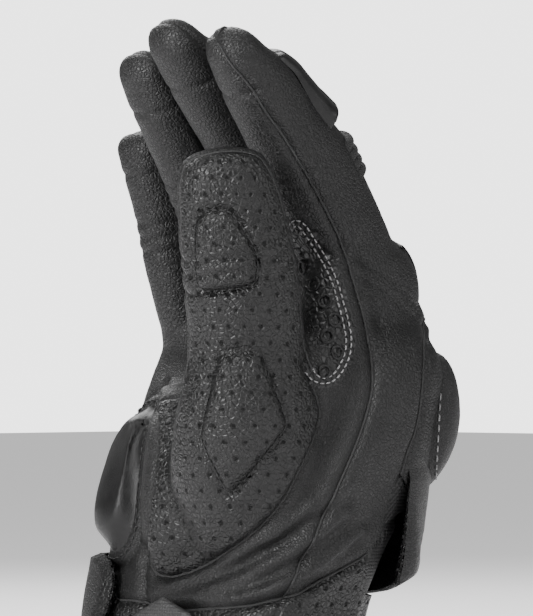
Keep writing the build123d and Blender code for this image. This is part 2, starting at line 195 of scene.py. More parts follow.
def nearest(line, q, closed):
    """Distance to a polyline, and its sign: positive on the right of its nearest run."""
    starts = line if closed else line[:-1]
    ends = np.roll(line, -1, axis=0) if closed else line[1:]
    best = np.full(q.shape[:-1], 1e9)
    sign = np.ones(q.shape[:-1])
    for a, b in zip(starts, ends):
        run = b - a
        t = np.clip(((q - a) @ run) / (run @ run), 0, 1)
        away = q - a - t[..., None] * run
        d = np.linalg.norm(away, axis=-1)
        cross = (q[..., 0] - a[0]) * run[1] - (q[..., 1] - a[1]) * run[0]
        nearer = d < best - 1e-9
        best = np.where(nearer, d, best)
        sign = np.where(nearer, np.sign(cross), sign)
    return best, sign


def beside(line, q):
    """Signed distance to an open line that goes on at both ends; positive on its right going up."""
    line = np.asarray(line, float)
    first = line[0] + (line[0] - line[1]) * 40
    last = line[-1] + (line[-1] - line[-2]) * 40
    d, sign = nearest(np.concatenate([[first], line, [last]]), q, False)
    return d * sign


def inside(outline, q):
    """Signed distance to a closed outline, positive inside."""
    outline = np.asarray(outline, float)
    d, _ = nearest(outline, q, True)
    odd = np.zeros(q.shape[:-1], bool)
    for a, b in zip(outline, np.roll(outline, -1, axis=0)):
        crosses = (a[1] > q[..., 1]) != (b[1] > q[..., 1])
        at = a[0] + (q[..., 1] - a[1]) * (b[0] - a[0]) / (b[1] - a[1] + 1e-12)
        odd ^= crosses & (q[..., 0] < at)
    return np.where(odd, d, -d)


def least(*fields):
    return functools.reduce(np.minimum, fields)


def ramp(x, low, high):
    t = np.clip((x - low) / (high - low), 0, 1)
    return t * t * (3 - 2 * t)


def hump(x, width):
    return np.exp(-((x / width) ** 2))


LATTICE = np.random.default_rng(7).random((32, 32, 32)) * 2 - 1


def noise(p, scale):
    """Smooth noise between -1 and 1."""
    q = p / scale
    base = np.floor(q).astype(int)
    f = q - base
    f = f * f * (3 - 2 * f)
    total = 0
    for corner in itertools.product((0, 1), repeat=3):
        i, j, k = ((base[..., n] + d) % 32 for n, d in enumerate(corner))
        weights = [f[..., n] if d else 1 - f[..., n] for n, d in enumerate(corner)]
        total = total + LATTICE[i, j, k] * np.prod(weights, 0)
    return total


# ---- skins

def ring_solid(rings):
    """Closed solid through rings of equal counts."""
    n = len(rings[0])
    points = np.concatenate(list(rings) + [[np.mean(rings[0], 0)], [np.mean(rings[-1], 0)]])
    faces = [
        (r * n + i, r * n + (i + 1) % n, (r + 1) * n + (i + 1) % n, (r + 1) * n + i)
        for r in range(len(rings) - 1) for i in range(n)
    ]
    low, high, top = len(rings) * n, len(rings) * n + 1, (len(rings) - 1) * n
    faces += [(low, (i + 1) % n, i) for i in range(n)]
    faces += [(high, top + i, top + (i + 1) % n) for i in range(n)]
    return points, faces


def oval(centre, x_dir, y_dir, half_x, half_y, count=64, squareness=2.0):
    t = np.linspace(0, 2 * np.pi, count, endpoint=False)
    c = np.sign(np.cos(t)) * np.abs(np.cos(t)) ** (2 / squareness)
    s = np.sign(np.sin(t)) * np.abs(np.sin(t)) ** (2 / squareness)
    return centre + np.outer(c * half_x, x_dir) + np.outer(s * half_y, y_dir)


def joined(solids):
    """Points and faces of several solids as one."""
    points, faces, start = [], [], 0
    for p, f in solids:
        points.append(p)
        faces += [tuple(i + start for i in face) for face in f]
        start += len(p)
    return np.concatenate(points), faces


def remeshed(rings):
    """Points and triangles of the union of solids through rings."""
    points, faces = joined(map(ring_solid, rings))
    mesh = bpy.data.meshes.new("work")
    mesh.from_pydata(points * MM, [], faces)
    obj = add("work", mesh)
    change = obj.modifiers.new("union", "REMESH")
    change.mode = "VOXEL"
    change.voxel_size = VOXEL * MM
    made = bpy.data.meshes.new_from_object(obj.evaluated_get(bpy.context.evaluated_depsgraph_get()))
    made.calc_loop_triangles()
    p, tris = read(made.vertices, "co") / MM, read(made.loop_triangles, "vertices", 3, np.int32)
    bpy.data.objects.remove(obj)
    for used in (mesh, made):
        bpy.data.meshes.remove(used)
    return p, tris


def sides_of(tris):
    return np.concatenate([tris[:, [0, 1]], tris[:, [1, 2]], tris[:, [2, 0]]])


def smoothed(p, tris, times, weight=1.0):
    """Points drawn towards their neighbours."""
    e = np.unique(np.sort(sides_of(tris), 1), axis=0)
    count = np.bincount(e.ravel(), minlength=len(p))[:, None]
    for _ in range(times):
        total = np.zeros_like(p)
        for axis in range(3):
            total[:, axis] = np.bincount(e[:, 0], p[e[:, 1], axis], len(p))
            total[:, axis] += np.bincount(e[:, 1], p[e[:, 0], axis], len(p))
        p = p + (total / np.maximum(count, 1) - p) * 0.5 * np.asarray(weight).reshape(-1, 1)
    return p


def normals_of(p, tris):
    face = np.cross(p[tris[:, 1]] - p[tris[:, 0]], p[tris[:, 2]] - p[tris[:, 0]])
    total = np.zeros_like(p)
    for corner in range(3):
        for axis in range(3):
            total[:, axis] += np.bincount(tris[:, corner], face[:, axis], len(p))
    return total / np.maximum(np.linalg.norm(total, axis=1, keepdims=True), 1e-12)


def crossed(tris, value):
    """Triangles that a field's zero line crosses, each from the corner that is alone on its side."""
    count = (value[tris] > 0).sum(1)
    mixed = tris[(count == 1) | (count == 2)]
    side = value[mixed] > 0
    alone = np.where((side.sum(1) == 1)[:, None], side, ~side).argmax(1)
    row = np.arange(len(mixed))
    return [mixed[row, (alone + k) % 3] for k in range(3)]


class Skin:
    """A smooth surface that is cut into named regions and then given its relief."""

    def __init__(self, p, tris):
        self.rest = p
        self.regions = {"all": tris}

    def tris(self):
        return np.concatenate(list(self.regions.values()))

    def cut(self, name, above, field):
        """Moves the part of a region where the field is positive to another region."""
        value = field(self.rest)
        value = np.where(np.abs(value) < 0.02, -0.02, value)
        tris = self.regions[name]
        count = (value[tris] > 0).sum(1)
        a, b, c = crossed(tris, value)
        pairs = np.sort(np.concatenate([np.stack([a, b], 1), np.stack([a, c], 1)]), 1)
        keys, index = np.unique(pairs, axis=0, return_inverse=True)
        index = index.reshape(-1)
        low, high = value[keys[:, 0]], value[keys[:, 1]]
        t = (low / (low - high))[:, None]
        start = len(self.rest)
        self.rest = np.concatenate([self.rest, self.rest[keys[:, 0]] * (1 - t) + self.rest[keys[:, 1]] * t])
        ab, ac = start + index[: len(a)], start + index[len(a):]
        lone = np.stack([a, ab, ac], 1)
        rest = np.concatenate([np.stack([ab, b, c], 1), np.stack([ab, c, ac], 1)])
        lone_up = value[a] > 0
        both = np.concatenate([lone_up, lone_up])
        up = [tris[count == 3], lone[lone_up], rest[~both]]
        down = [tris[count == 0], lone[~lone_up], rest[both]]
        self.split_others(name, keys, start)
        self.regions[name] = np.concatenate(down)
        if above:
            old = self.regions.get(above, np.zeros((0, 3), tris.dtype))
            self.regions[above] = np.concatenate([old] + up)

    def split_others(self, name, keys, start):
        """Adds the new points to the triangles of other regions that share the cut edges."""
        width = len(self.rest) + 1
        codes = keys[:, 0].astype(np.int64) * width + keys[:, 1]
        if not len(codes):
            return
        for other, tris in self.regions.items():
            if other == name or not len(tris):
                continue
            for turn in range(3):
                a, b, c = tris[:, turn], tris[:, (turn + 1) % 3], tris[:, (turn + 2) % 3]
                code = np.minimum(a, b).astype(np.int64) * width + np.maximum(a, b)
                at = np.searchsorted(codes, code)
                hit = (at < len(codes)) & (codes[np.minimum(at, len(codes) - 1)] == code)
                if not hit.any():
                    continue
                middle = start + at[hit]
                made = [np.stack([a[hit], middle, c[hit]], 1), np.stack([middle, b[hit], c[hit]], 1)]
                tris = np.concatenate([tris[~hit]] + made)
            self.regions[other] = tris

    def relief(self, height):
        """Moves every point along its normal, then keeps the final normals and the painted shade of its
        hollows.
        """
        tris = self.tris()
        normal = normals_of(self.rest, tris)
        raised = self.rest + normal * height(self.rest, normal)[:, None]
        self.final = smoothed(raised, tris, 1)
        self.normal = normals_of(self.final, tris)
        # painted shade: how far each point lies sunk below its smoothed neighbours, for darkening creases and
        # seams
        hollow = ((smoothed(self.final, tris, 7) - self.final) * self.normal).sum(1)
        self.painted_hollow_shade = np.clip(hollow / FULL_HOLLOW, 0, 1)


# ---- pieces

def rim_of(tris):
    """Directed edges that only one triangle has."""
    e = sides_of(tris).astype(np.int64)
    width = e.max() + 1
    code, back = e[:, 0] * width + e[:, 1], e[:, 1] * width + e[:, 0]
    return e[~np.isin(code, back)]


def write_mesh(name, p, faces, normals=None):
    mesh = bpy.data.meshes.new(name)
    mesh.from_pydata(np.asarray(p) * MM, [], [tuple(int(i) for i in f) for f in faces])
    mesh.shade_smooth()
    if normals is not None:
        mesh.normals_split_custom_set_from_vertices([tuple(n) for n in normals])
    return add(name, mesh)


def closed_sheet(name, outer, outer_normal, inner, inner_normal, tris):
    """Outer face, inner face and the rim that joins them."""
    count, (a, b) = len(outer), rim_of(tris).T
    faces = np.concatenate([
        tris, tris[:, ::-1] + count, np.stack([b, a, a + count], 1), np.stack([b, a + count, b + count], 1),
    ])
    normals = np.concatenate([outer_normal, inner_normal])
    return write_mesh(name, np.concatenate([outer, inner]), faces, normals)


def sheet_piece(name, p, n, tris, thickness, lift=0.0):
    """Closed sheet of part of a skin, at a height over it."""
    used, flat = np.unique(tris, return_inverse=True)
    lift, thickness = (np.broadcast_to(v, len(p))[used, None] for v in (lift, thickness))
    n = n[used]
    outer = p[used] + n * lift
    return closed_sheet(name, outer, n, outer - n * thickness, -n, flat.reshape(-1, 3))


def finish_piece(obj, material, bodies="hand", replaced=()):
    """Material, movement and the CAD nodes that the piece stands for."""
    obj.data.materials.clear()
    obj.data.materials.append(material)
    if isinstance(bodies, str):
        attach(obj, bodies)
    else:
        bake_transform(obj)
    if replaced:
        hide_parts(*replaced)
    return obj


# The plane that parts the index finger from the hand leans back by this much and starts this far inwards
INDEX_LEAN = 0.75
INDEX_START = 4.0


def crossing(digit, joint):
    """Bodies and the two points between which leather turns, for one of a digit's hinges."""
    name, reach = digit.name, 0.75 * digit.depth
    if joint == "middle_joint":
        along = unit(digit.along_near + digit.along_tip) * reach
        return f"{name}_near", f"{name}_tip", digit.middle - along, digit.middle + along
    if name == "index":
        start = digit.knuckle - digit.along_near * INDEX_START
        return "hand", "index_near", start, start + unit(digit.along_near + INDEX_LEAN * digit.back_near) * 22
    along = digit.along_near * reach
    return "hand", f"{name}_near", digit.knuckle - along, digit.knuckle + along


# ---- base shapes

def hermite(x, xs, ys):
    """Smooth curve through a few values."""
    xs, ys = np.asarray(xs, float), np.asarray(ys, float)
    slope = np.gradient(ys, xs)
    i = np.clip(np.searchsorted(xs, x) - 1, 0, len(xs) - 2)
    w = xs[i + 1] - xs[i]
    t = np.clip((x - xs[i]) / w, 0, 1)
    a = (1 + 2 * t) * (1 - t) ** 2 * ys[i] + t * t * (3 - 2 * t) * ys[i + 1]
    return a + w * (t * (1 - t) ** 2 * slope[i] - t * t * (1 - t) * slope[i + 1])


def table_at(x, table):
    """The columns after the first of a table, smooth along the first."""
    table = np.asarray(table, float)
    return [hermite(x, table[:, 0], column) for column in table.T[1:]]


# Rounded sections of the hand: height, palm side, back, thumb side, little-finger side, squareness
HAND_SECTIONS = (
    (-8, -31, 26, -42, 45, 3.4),
    (23, -30, 28, -42, 46, 3.4),
    (44, -26, 34, -46, 45, 3.6),
    (70, -19, 42, -56, 48.5, 3.7),
    (90, -8, 43.5, -59, 50.5, 3.7),
    (106, 1, 43, -59, 50, 3.6),
    (114, 4, 40, -55, 48, 3.0),
    (120, 9, 36, -48, 44, 2.6),
)


def level_oval(z, low_x, high_x, low_y, high_y, count, squareness):
    """Oval across the hand between its limits."""
    centre = np.array([(low_x + high_x) / 2, (low_y + high_y) / 2, z])
    return oval(centre, X, Y, (high_x - low_x) / 2, (high_y - low_y) / 2, count, squareness)


def hand_rings():
    rings = []
    for z in np.arange(-8, 121, 2.0):
        *limits, squareness = table_at(z, HAND_SECTIONS)
        rings.append(level_oval(z, *limits, 96, squareness))
    return rings


def droop(digit, lengths):
    """How much lower the back of a fingertip lies than that of a straight finger."""
    if digit.name == "thumb":
        return 0 * lengths
    return 5.4 * ramp(lengths, digit.near + 0.5 * digit.tip, digit.near + 0.9 * digit.tip)


def digit_rings(digit, start, end=None, grow=0.0, widen=()):
    """Ovals along a digit from one length to another, or to its rounded tip.  Rows of length and
    extra width widen it on its positive side only."""
    near, tip = digit.near, digit.tip
    total, turn_at = near + tip, near + 0.8 * tip
    slim_depth, slim_breadth = digit.depth - 2.0, digit.breadth - 0.6
    half_sizes = (
        (-30, digit.depth, digit.breadth),
        (0, digit.depth, digit.breadth),
        (near - 12, digit.depth + 0.4, digit.breadth - 0.2),
        (near, digit.depth - 0.4, digit.breadth - 0.2),
        (near + min(10, 0.25 * tip), slim_depth + 0.3, slim_breadth),
        (near + 0.4 * tip, slim_depth * 0.98, slim_breadth * 0.99),
        (near + 0.7 * tip, slim_depth * 0.91, slim_breadth * 0.93),
        (turn_at, slim_depth * 0.84, slim_breadth * 0.87),
    )
    if end is None:
        lengths = np.concatenate([
            np.arange(start, turn_at, 1.6),
            turn_at + (total - turn_at) * np.sin(np.linspace(0, 0.497 * np.pi, 12)),
        ])
    else:
        lengths = np.arange(start, end, 1.6)
    over = np.clip((lengths - turn_at) / (total - turn_at), 0, 1)
    shrink = np.sqrt(np.maximum(1 - over ** 2.2, 0.002))
    depth, breadth = (size * shrink + grow for size in table_at(np.minimum(lengths, turn_at), half_sizes))
    if end is not None:
        cap = np.sqrt(np.maximum(1 - np.clip((lengths - end + 6) / 6.5, 0, 1) ** 2, 0.02))
        depth, breadth = depth * cap, breadth * cap
    centre, _, back = digit.path(lengths)
    if digit.swell:
        extra = np.interp(lengths, *zip(*digit.swell)) / 2
        depth = depth + extra
        centre = centre + extra[:, None] * back
    lower = droop(digit, lengths) / 2
    depth, centre = np.maximum(depth - lower * shrink, 0.6), centre - lower[:, None] * back
    if widen:
        extra = np.interp(lengths, *zip(*widen)) / 2
        breadth = breadth + extra
        centre = centre + extra[:, None] * digit.side
    return [oval(c, b, digit.side, d, w, 64, 2.15) for c, b, d, w in zip(centre, back, depth, breadth)]


THUMB = digits["thumb"]
THUMB_BACK = np.array([-0.7071, -0.7071, 0])
THUMB_WIDENING = ((-8, 5.5), (15, 5.5), (30, 4.5), (46, 3.0), (60, 0.5), (70, 0))


def thenar_rings():
    """Fleshy base of the thumb, rising out of the palm into the thumb."""
    def on_thumb(length, across, *sizes):
        x, y, z = THUMB.knuckle + THUMB.along_near * length + THUMB.side * across
        return z, x, y, *sizes

    sections = (  # height, x, y, half depth, half breadth
        (36, -9, -14, 8, 8),
        (46, -11, -18, 19, 18),
        (59, -15, -21, 22.5, 22.5),
        (72, -19, -24, 24, 25),
        (87, -25, -28, 21.5, 22.5),
        on_thumb(-14, 1.5, 17.4, 20.5),
        on_thumb(-2, 2.4, 14.8, 18.8),
        on_thumb(8, 2.6, 13.5, 17.8),
    )
    rings = []
    for z in np.arange(36, sections[-1][0], 2.0):
        x, y, depth, breadth = table_at(z, sections)
        tilt = ramp(z, 70, 100)
        back = unit(THUMB_BACK * (1 - tilt) + THUMB.back_near * tilt)
        rings.append(oval(np.array([x, y, z]), back, THUMB.side, depth, breadth, 72, 2.1))
    return rings


def heel_rings():
    """Heel of the palm, filling the valley between the thumb's base and the palm slider."""
    sections = (  # height, towards the eye, half breadth, half depth
        (34, 4, 12, 12), (44, 7, 17, 18), (60, 8, 18, 21), (74, 6, 17, 21), (88, 0, 15, 17), (100, -8, 12, 12),
    )
    rings = []
    for z in np.arange(34, 100, 2.0):
        out, breadth, depth = table_at(z, sections)
        rings.append(oval(RIGHT * -13.5 + TOWARDS * out + Z * z, RIGHT, TOWARDS, breadth, depth, 64, 2.3))
    return rings


def web_rings():
    """Web between the thumb's base and the index finger: height, palm side, back and thumb side."""
    sections = (
        (84, -22, 12, -48), (92, -22, 12, -52), (100, -20, 14, -53), (110, -16, 14, -53),
        (120, -13, 12, -52.5), (130, -10, 12, -51.5), (138, -7, 10, -50), (145, -3, 8, -46),
    )
    return [level_oval(z, low_x, high_x, y, y + 18, 48, 2.6) for z, low_x, high_x, y in sections]


def knuckle_ridge():
    """Row of knuckles under the guard."""
    rings = []
    for y in np.linspace(-50, 44, 40):
        index_end, little_end = ramp(y, -51, -40), 1 - ramp(y, 20, 45)
        size = 19.6 * (0.62 + 0.38 * index_end * little_end) + 0.5 * math.cos((y + 37) * math.pi / 12.5)
        lower = 9 * (1 - little_end)
        rings.append(oval(np.array([20.5, y, 129 - lower]), X, Z, size, size * 0.9, 48))
    return rings


def hand_skin():
    rings = [knuckle_ridge(), hand_rings(), thenar_rings(), heel_rings(), web_rings(),
             digit_rings(THUMB, -8, widen=THUMB_WIDENING), digit_rings(digits["index"], -24)]
    rings += [digit_rings(digits[name], -24, 9, 0.7) for name in FINGERS[1:]]
    p, tris = remeshed(rings)
    scale = 1.15 / VOXEL
    p = smoothed(p, tris, int(6 * scale) + 1)
    z = p[:, 2]
    merge = ramp(z, 60, 95) * (1 - ramp(z, 136, 150))
    palm = ramp(z, 30, 40) * (1 - ramp(z, 60, 95)) * 0.7
    s, _, _ = THUMB.place(p)
    weight = np.maximum(merge, palm) * (1 - 0.9 * ramp(s, -6, 10) * (p @ THUMB_BACK > 20))
    return Skin(smoothed(p, tris, int(26 * scale), weight), tris)


def finger_skin(digit):
    p, tris = remeshed([digit_rings(digit, -12)])
    return Skin(smoothed(p, tris, 5), tris)


# ---- seams, as seen from the eye

LONG_SEAM = rounded(
    [(-7.1, 207.7), (-3.9, 201.9), (3.2, 194.2), (9, 184.5), (13.5, 179), (21.6, 165.5), (26.8, 156.1),
     (34.5, 140), (40, 120.6), (42.9, 104.2), (42.3, 92.9), (35.8, 74.2), (27.4, 57.1), (20.6, 42.9)][::-1],
    2, False)
BACK_SEAM = rounded([(59.7, 112.6), (59, 92.9), (57.1, 83.2), (54.5, 76.8), (52, 68)][::-1], 1, False)
THENAR_OUTLINE = rounded(
    [(18.1, 125), (18.1, 117.1), (20.6, 104.2), (25.8, 92.9), (26.5, 86.5), (22.6, 76.8), (19.4, 70.3),
     (13.5, 59), (3.5, 48.7), (-12.6, 38.5), (-25.5, 34.9), (-30.6, 41.6), (-30.3, 51.3), (-27.7, 75.5),
     (-26.8, 95.5), (-30, 125)], 1)
STRIP_SEAM = [(-30.6, 38), (-30.3, 51.3), (-27.7, 75.5), (-26.8, 95.5)]
UPPER_PAD = rounded(
    [(-11, 154.8), (-2.6, 154.8), (6.5, 140.6), (5.8, 129.4), (-12.9, 127.4), (-15.2, 132.9),
     (-15.2, 151.6)], 2, reach=2.2)
LOWER_PAD = rounded([(-7.4, 108.7), (7.1, 109.4), (15.8, 85.2), (-3.5, 61), (-13.2, 81.3)], 2, reach=2.2)
PATCH = rounded(
    [(14.2, 151.6), (20, 153.5), (25.2, 146.5), (32.3, 134.5), (35.8, 121.6), (38.1, 110), (33.2, 99),
     (26.1, 96.1), (20, 100), (15, 117.1), (12, 142.6)], 2)
V_OPENING = [(51.6, 70.3), (47, 57), (41.5, 43), (40.3, 30), (60, 30), (60, 52)]
CUFF_LINE = ([-35, -18, 3, 19, 40, 52], [29, 26.5, 28.7, 31.9, 42.9, 54.5])
FOLDS = [  # line, rise, half width
    ([(-20, 28.7), (3.2, 36.8), (19, 45.5), (33.9, 57.1)], 1.5, 2.4),
    ([(-12.9, 27.1), (9, 31.9), (25.8, 40), (38.7, 51.3)], 1.7, 2.0),
    ([(-25.8, 31.9), (-3.2, 41.6), (12.9, 51.3), (22.6, 59.4)], 1.0, 2.0),
    ([(10, 49), (24, 59), (36, 66)], 0.8, 2.2),
]
INDEX_FOLD = np.array([(-1.0, 174.0), (5.0, 175.2), (11.5, 179.0)])
BUMP_ALONG = unit([1, -0.8, 0])
BUMP_ACROSS = np.array([0.6247, 0.7809, 0])
BUMP_SHIFT = -7.0
BUMP_HEIGHT, BUMP_HALF_UP, BUMP_HALF_ACROSS = 87, 23.5, 16
SLIDER_OUT = unit([-0.906, 0.42, 0])
SLIDER_SIDE = np.array([0.42, 0.906, 0])
SLIDER_CENTRE = np.array([-12, 32, 67.0])


def long_seam(p):
    return beside(LONG_SEAM, seen(p)[0])


def strip(p):
    q, _ = seen(p)
    left = -beside(STRIP_SEAM, q)
    return least(np.maximum(left, p[:, 1] - 32), 15 - p[:, 0])


def thenar(p):
    q, near = seen(p)
    return least(inside(THENAR_OUTLINE, q), near - np.interp(p[:, 2], [80, 100], [-20, 22]))


def cuff(p):
    q, near = seen(p)
    facing = ramp(near, -20, 0)
    return np.interp(q[:, 0], *CUFF_LINE) * facing + 44 * (1 - facing) - p[:, 2]


def v_opening(p):
    q, near = seen(p)
    return least(inside(V_OPENING, q), near + 25)


def thumb_zone(p):
    """Thumb, as far as half way to the index finger."""
    s, h, across = THUMB.place(p)
    s_index, h_index, across_index = digits["index"].place(p)
    away = np.hypot(h, across - 2)
    nearer = np.hypot(h_index, across_index) - away + 3 + 40 * (1 - ramp(s_index, 10, 30))
    beyond = THUMB.near + THUMB.tip + 8 - s
    return least(s + 10, 24 - away, nearer, beyond)


def index_zone(p):
    """Index finger, beyond a plane that leans from its back down to where it leaves the palm."""
    s, h, _ = digits["index"].place(p)
    beside_middle = -24.6 + 8 * ramp(s, 9, 14) + 40 * ramp(s, 14, 30) - p[:, 1]
    return np.minimum((s + INDEX_LEAN * h + INDEX_START) / math.hypot(1, INDEX_LEAN), beside_middle)


def index_back(p):
    _, h, across = digits["index"].place(p)
    return np.where(across < 0, long_seam(p), h)


def side_zone(p):
    q, _ = seen(p)
    return least(beside(LONG_SEAM, q), -beside(BACK_SEAM, q), -36 - p[:, 1])


def back_zone(p):
    return p[:, 0] - 15


def view_outline(outline, depth=-200.0):
    """Field of an outline as seen, for points nearer to the eye than a depth."""
    def field(p):
        q, near = seen(p)
        return least(inside(outline, q), near - depth)
    return field


def bump_zone(p):
    """Oval over the wrist bone, on the corner between the back and the thumb side."""
    up, across = (p[:, 2] - BUMP_HEIGHT) / BUMP_HALF_UP, (p @ BUMP_ACROSS - BUMP_SHIFT) / BUMP_HALF_ACROSS
    return np.minimum((1 - np.hypot(up, across)) * BUMP_HALF_ACROSS, p @ BUMP_ALONG - 20)


def slider_oval(half_up, half_across):
    """Leaning oval round the palm slider."""
    def field(p):
        q = p - SLIDER_CENTRE
        up, across = q[:, 2] / half_up, (q @ SLIDER_SIDE - 0.12 * q[:, 2]) / half_across
        d = (1 - (np.abs(up) ** 2.3 + np.abs(across) ** 2.3) ** (1 / 2.3)) * half_across
        return np.minimum(d, q @ SLIDER_OUT + 14)
    return field


patch_zone, lower_pad_zone = view_outline(PATCH, -12), view_outline(LOWER_PAD, 20)
slider_zone, flange_zone = slider_oval(23, 13.5), slider_oval(27.5, 18)


def groove(f, depth=0.8, width=0.9):
    """Sewn-in seam with its leather swelling on both sides."""
    return -depth * hump(f, width) + 0.35 * hump(np.abs(f) - 2.6, 2.0)


def creases(digit, p, lengths, depth=0.7):
    """Folds across the palm side at a hinge."""
    s, h, across = digit.place(p)
    front = ramp(-h, -2, 7)
    wander = 0.8 * noise(p + 31, 7)
    return sum(-depth * hump(s - at + wander + 0.012 * across ** 2, 0.9) for at in lengths) * front


def pillow(f, height, edge=3.0):
    """Raised pad with a sunk outline and a crowned top."""
    crown = np.clip(f / 11, 0, 1)
    raised = height * ramp(f, -0.1, edge) * (0.8 + 0.35 * np.sin(crown * np.pi / 2))
    return raised - 0.9 * hump(f + 0.1, 0.8)


def hand_relief(p, normal):
    q, near = seen(p)
    facing = ramp(normal @ TOWARDS, -0.15, 0.2)
    s_index, _, across = digits["index"].place(p)
    s_thumb, h_thumb, _ = THUMB.place(p)
    height = 0.30 * noise(p, 13) + 0.12 * noise(p + 50, 4.5)
    on_hand = thumb_zone(p) < 0
    radial = on_hand & ((p[:, 1] < -20) | ((s_index > 0) & (across < 0)))
    height += groove(long_seam(p)) * facing * radial
    height += groove(side_zone(p)) * (p[:, 1] < -30) * on_hand * ramp(p[:, 0], 10, 20) * (p[:, 2] < 120)
    height += groove(index_back(p), 0.6) * (across > 0) * ramp(s_index, 12, 18)
    height += groove(strip(p)) * on_hand * (p[:, 2] < 100) * (p[:, 2] > 20)
    height += groove(back_zone(p), 0.6) * ((p[:, 1] > -36) & (p[:, 0] > 5) & (p[:, 2] < 116))
    thenar_field = thenar(p)
    height += groove(thenar_field, 1.1) * facing * (s_thumb < -6)
    height += 0.9 * ramp(thenar_field, 0.0, 2.5) * facing * (s_thumb < 0) * ramp(-s_thumb, 6, 20)
    height += groove(cuff(p), 1.2, 1.2)
    height += groove(h_thumb - 2, 0.7) * (s_thumb > -4) * (thumb_zone(p) > 0)
    # gathered folds at the wrist
    band = ramp(near, -10, 10) * (1 - ramp(thenar_field, -1, 1)) * on_hand
    for line, rise, width in FOLDS:
        line = np.array(line)
        d, _ = nearest(line, q, False)
        below = nearest(line - (0, 4.2), q, False)[0]
        height += band * (rise * hump(d, width) - 0.6 * rise * hump(below, 1.8))
    # pads of the thumb
    on_thumb = facing * (near > 20)
    height += (pillow(inside(UPPER_PAD, q), 1.7) + pillow(inside(LOWER_PAD, q), 2.0)) * on_thumb
    height += creases(THUMB, p, [THUMB.near - 6, THUMB.near - 1], 0.5)
    # web patch, a little proud of the leather
    patch = inside(PATCH, q)
    on_web = facing * (near < 30) * (near > -10)
    height += (0.8 * ramp(patch, -0.3, 0.8) - 0.5 * hump(patch + 0.8, 0.9)) * on_web
    # index finger
    index = digits["index"]
    height += creases(index, p, [index.near + at for at in (-9, -3, 2, 34)]) * (s_index > 20)
    fold = nearest(INDEX_FOLD, q, False)[0]
    under = nearest(INDEX_FOLD - (0.8, 3.4), q, False)[0]
    height += (0.9 * hump(fold, 1.5) - 1.3 * hump(under, 2.2)) * (s_index > 0) * facing * (near < 22)
    # wrist bump and palm slider
    bump, flange, slider = bump_zone(p), flange_zone(p), slider_zone(p)
    height += 11 * np.sqrt(np.clip(bump / 14, 0, 1)) * ramp(bump, -0.5, 1.0) - 0.6 * hump(bump, 0.8)
    height += 1.2 * ramp(flange, -0.2, 0.6) - 0.5 * hump(flange + 0.5, 0.8)
    height += 2.2 * ramp(slider, 0, 9) * ramp(-p[:, 2], -72, -50)
    return height + 3.9 * ramp(slider, 0, 4.0) + 2.2 * np.sqrt(np.clip(slider / 13, 0, 1))


def finger_relief(digit):
    lengths = [digit.near - 7, digit.near - 2, digit.near + 3, digit.near + 0.62 * digit.tip]

    def height(p, normal):
        s, h, _ = digit.place(p)
        value = 0.25 * noise(p, 11) + 0.12 * noise(p + 50, 4.5)
        return value + groove(h + 1.5, 0.7) * (s > 4) + creases(digit, p, lengths)
    return height


# ---- materials

class Graph:
    """Short way of wiring a material's nodes."""

    def __init__(self, name):
        self.material = bpy.data.materials.new(name)
        self.material.use_nodes = True
        self.tree = self.material.node_tree
        self.shader = self.tree.nodes["Principled BSDF"]

    def put(self, socket, value):
        if isinstance(value, bpy.types.NodeSocket):
            self.tree.links.new(value, socket)
        else:
            socket.default_value = value

    def node(self, kind, inputs=(), **settings):
        node = self.tree.nodes.new(kind)
        for key, value in settings.items():
            setattr(node, key, value)
        for key, value in dict(inputs).items():
            self.put(node.inputs[key], value)
        return node

    def math(self, operation, *values):
        return self.node("ShaderNodeMath", enumerate(values), operation=operation).outputs[0]

    def blend(self, a, b, share):
        """A share of a and the rest of b."""
        return self.math("ADD", self.math("MULTIPLY", a, share), self.math("MULTIPLY", b, 1 - share))

    def place(self, scale=1.0):
        """Object coordinates in millimetres, over a feature size."""
        coordinates = self.node("ShaderNodeTexCoord").outputs["Object"]
        inputs = {0: coordinates, "Scale": 1000.0 / scale}
        return self.node("ShaderNodeVectorMath", inputs, operation="SCALE").outputs[0]

    def noise(self, size, detail=2.0, roughness=0.5):
        inputs = {"Vector": self.place(size), "Scale": 1.0, "Detail": detail, "Roughness": roughness}
        return self.node("ShaderNodeTexNoise", inputs).outputs["Fac"]

    def cells(self, size):
        """Distance from the edges of random cells."""
        inputs = {"Vector": self.place(size), "Scale": 1.0, "Randomness": 1.0}
        return self.node("ShaderNodeTexVoronoi", inputs, feature="DISTANCE_TO_EDGE").outputs["Distance"]

    def spread(self, value, low, high, to_low=0.0, to_high=1.0):
        inputs = {0: value, 1: low, 2: high, 3: to_low, 4: to_high}
        return self.node("ShaderNodeMapRange", inputs).outputs[0]

    def mix(self, factor, a, b):
        return self.node("ShaderNodeMix", {0: factor, 6: a, 7: b}, data_type="RGBA").outputs[2]

    def finish(self, colour, roughness, *bumps, **constants):
        """Bumps are (height, depth in mm), finest last."""
        self.put(self.shader.inputs["Base Color"], colour)
        self.put(self.shader.inputs["Roughness"], roughness)
        normal = None
        for height, depth in bumps:
            inputs = {"Height": height, "Distance": depth * MM, "Strength": 1.0}
            if normal:
                inputs["Normal"] = normal
            normal = self.node("ShaderNodeBump", inputs).outputs[0]
        if normal:
            self.put(self.shader.inputs["Normal"], normal)
        for key, value in constants.items():
            self.shader.inputs[key.replace("_", " ")].default_value = value
        return self.material


def grey(value):
    return (value, value * 0.99, value, 1.0)


HOLES_ACROSS, HOLES_UP = 6.2, 5.2  # spacing of the punched holes, every other row shifted by half


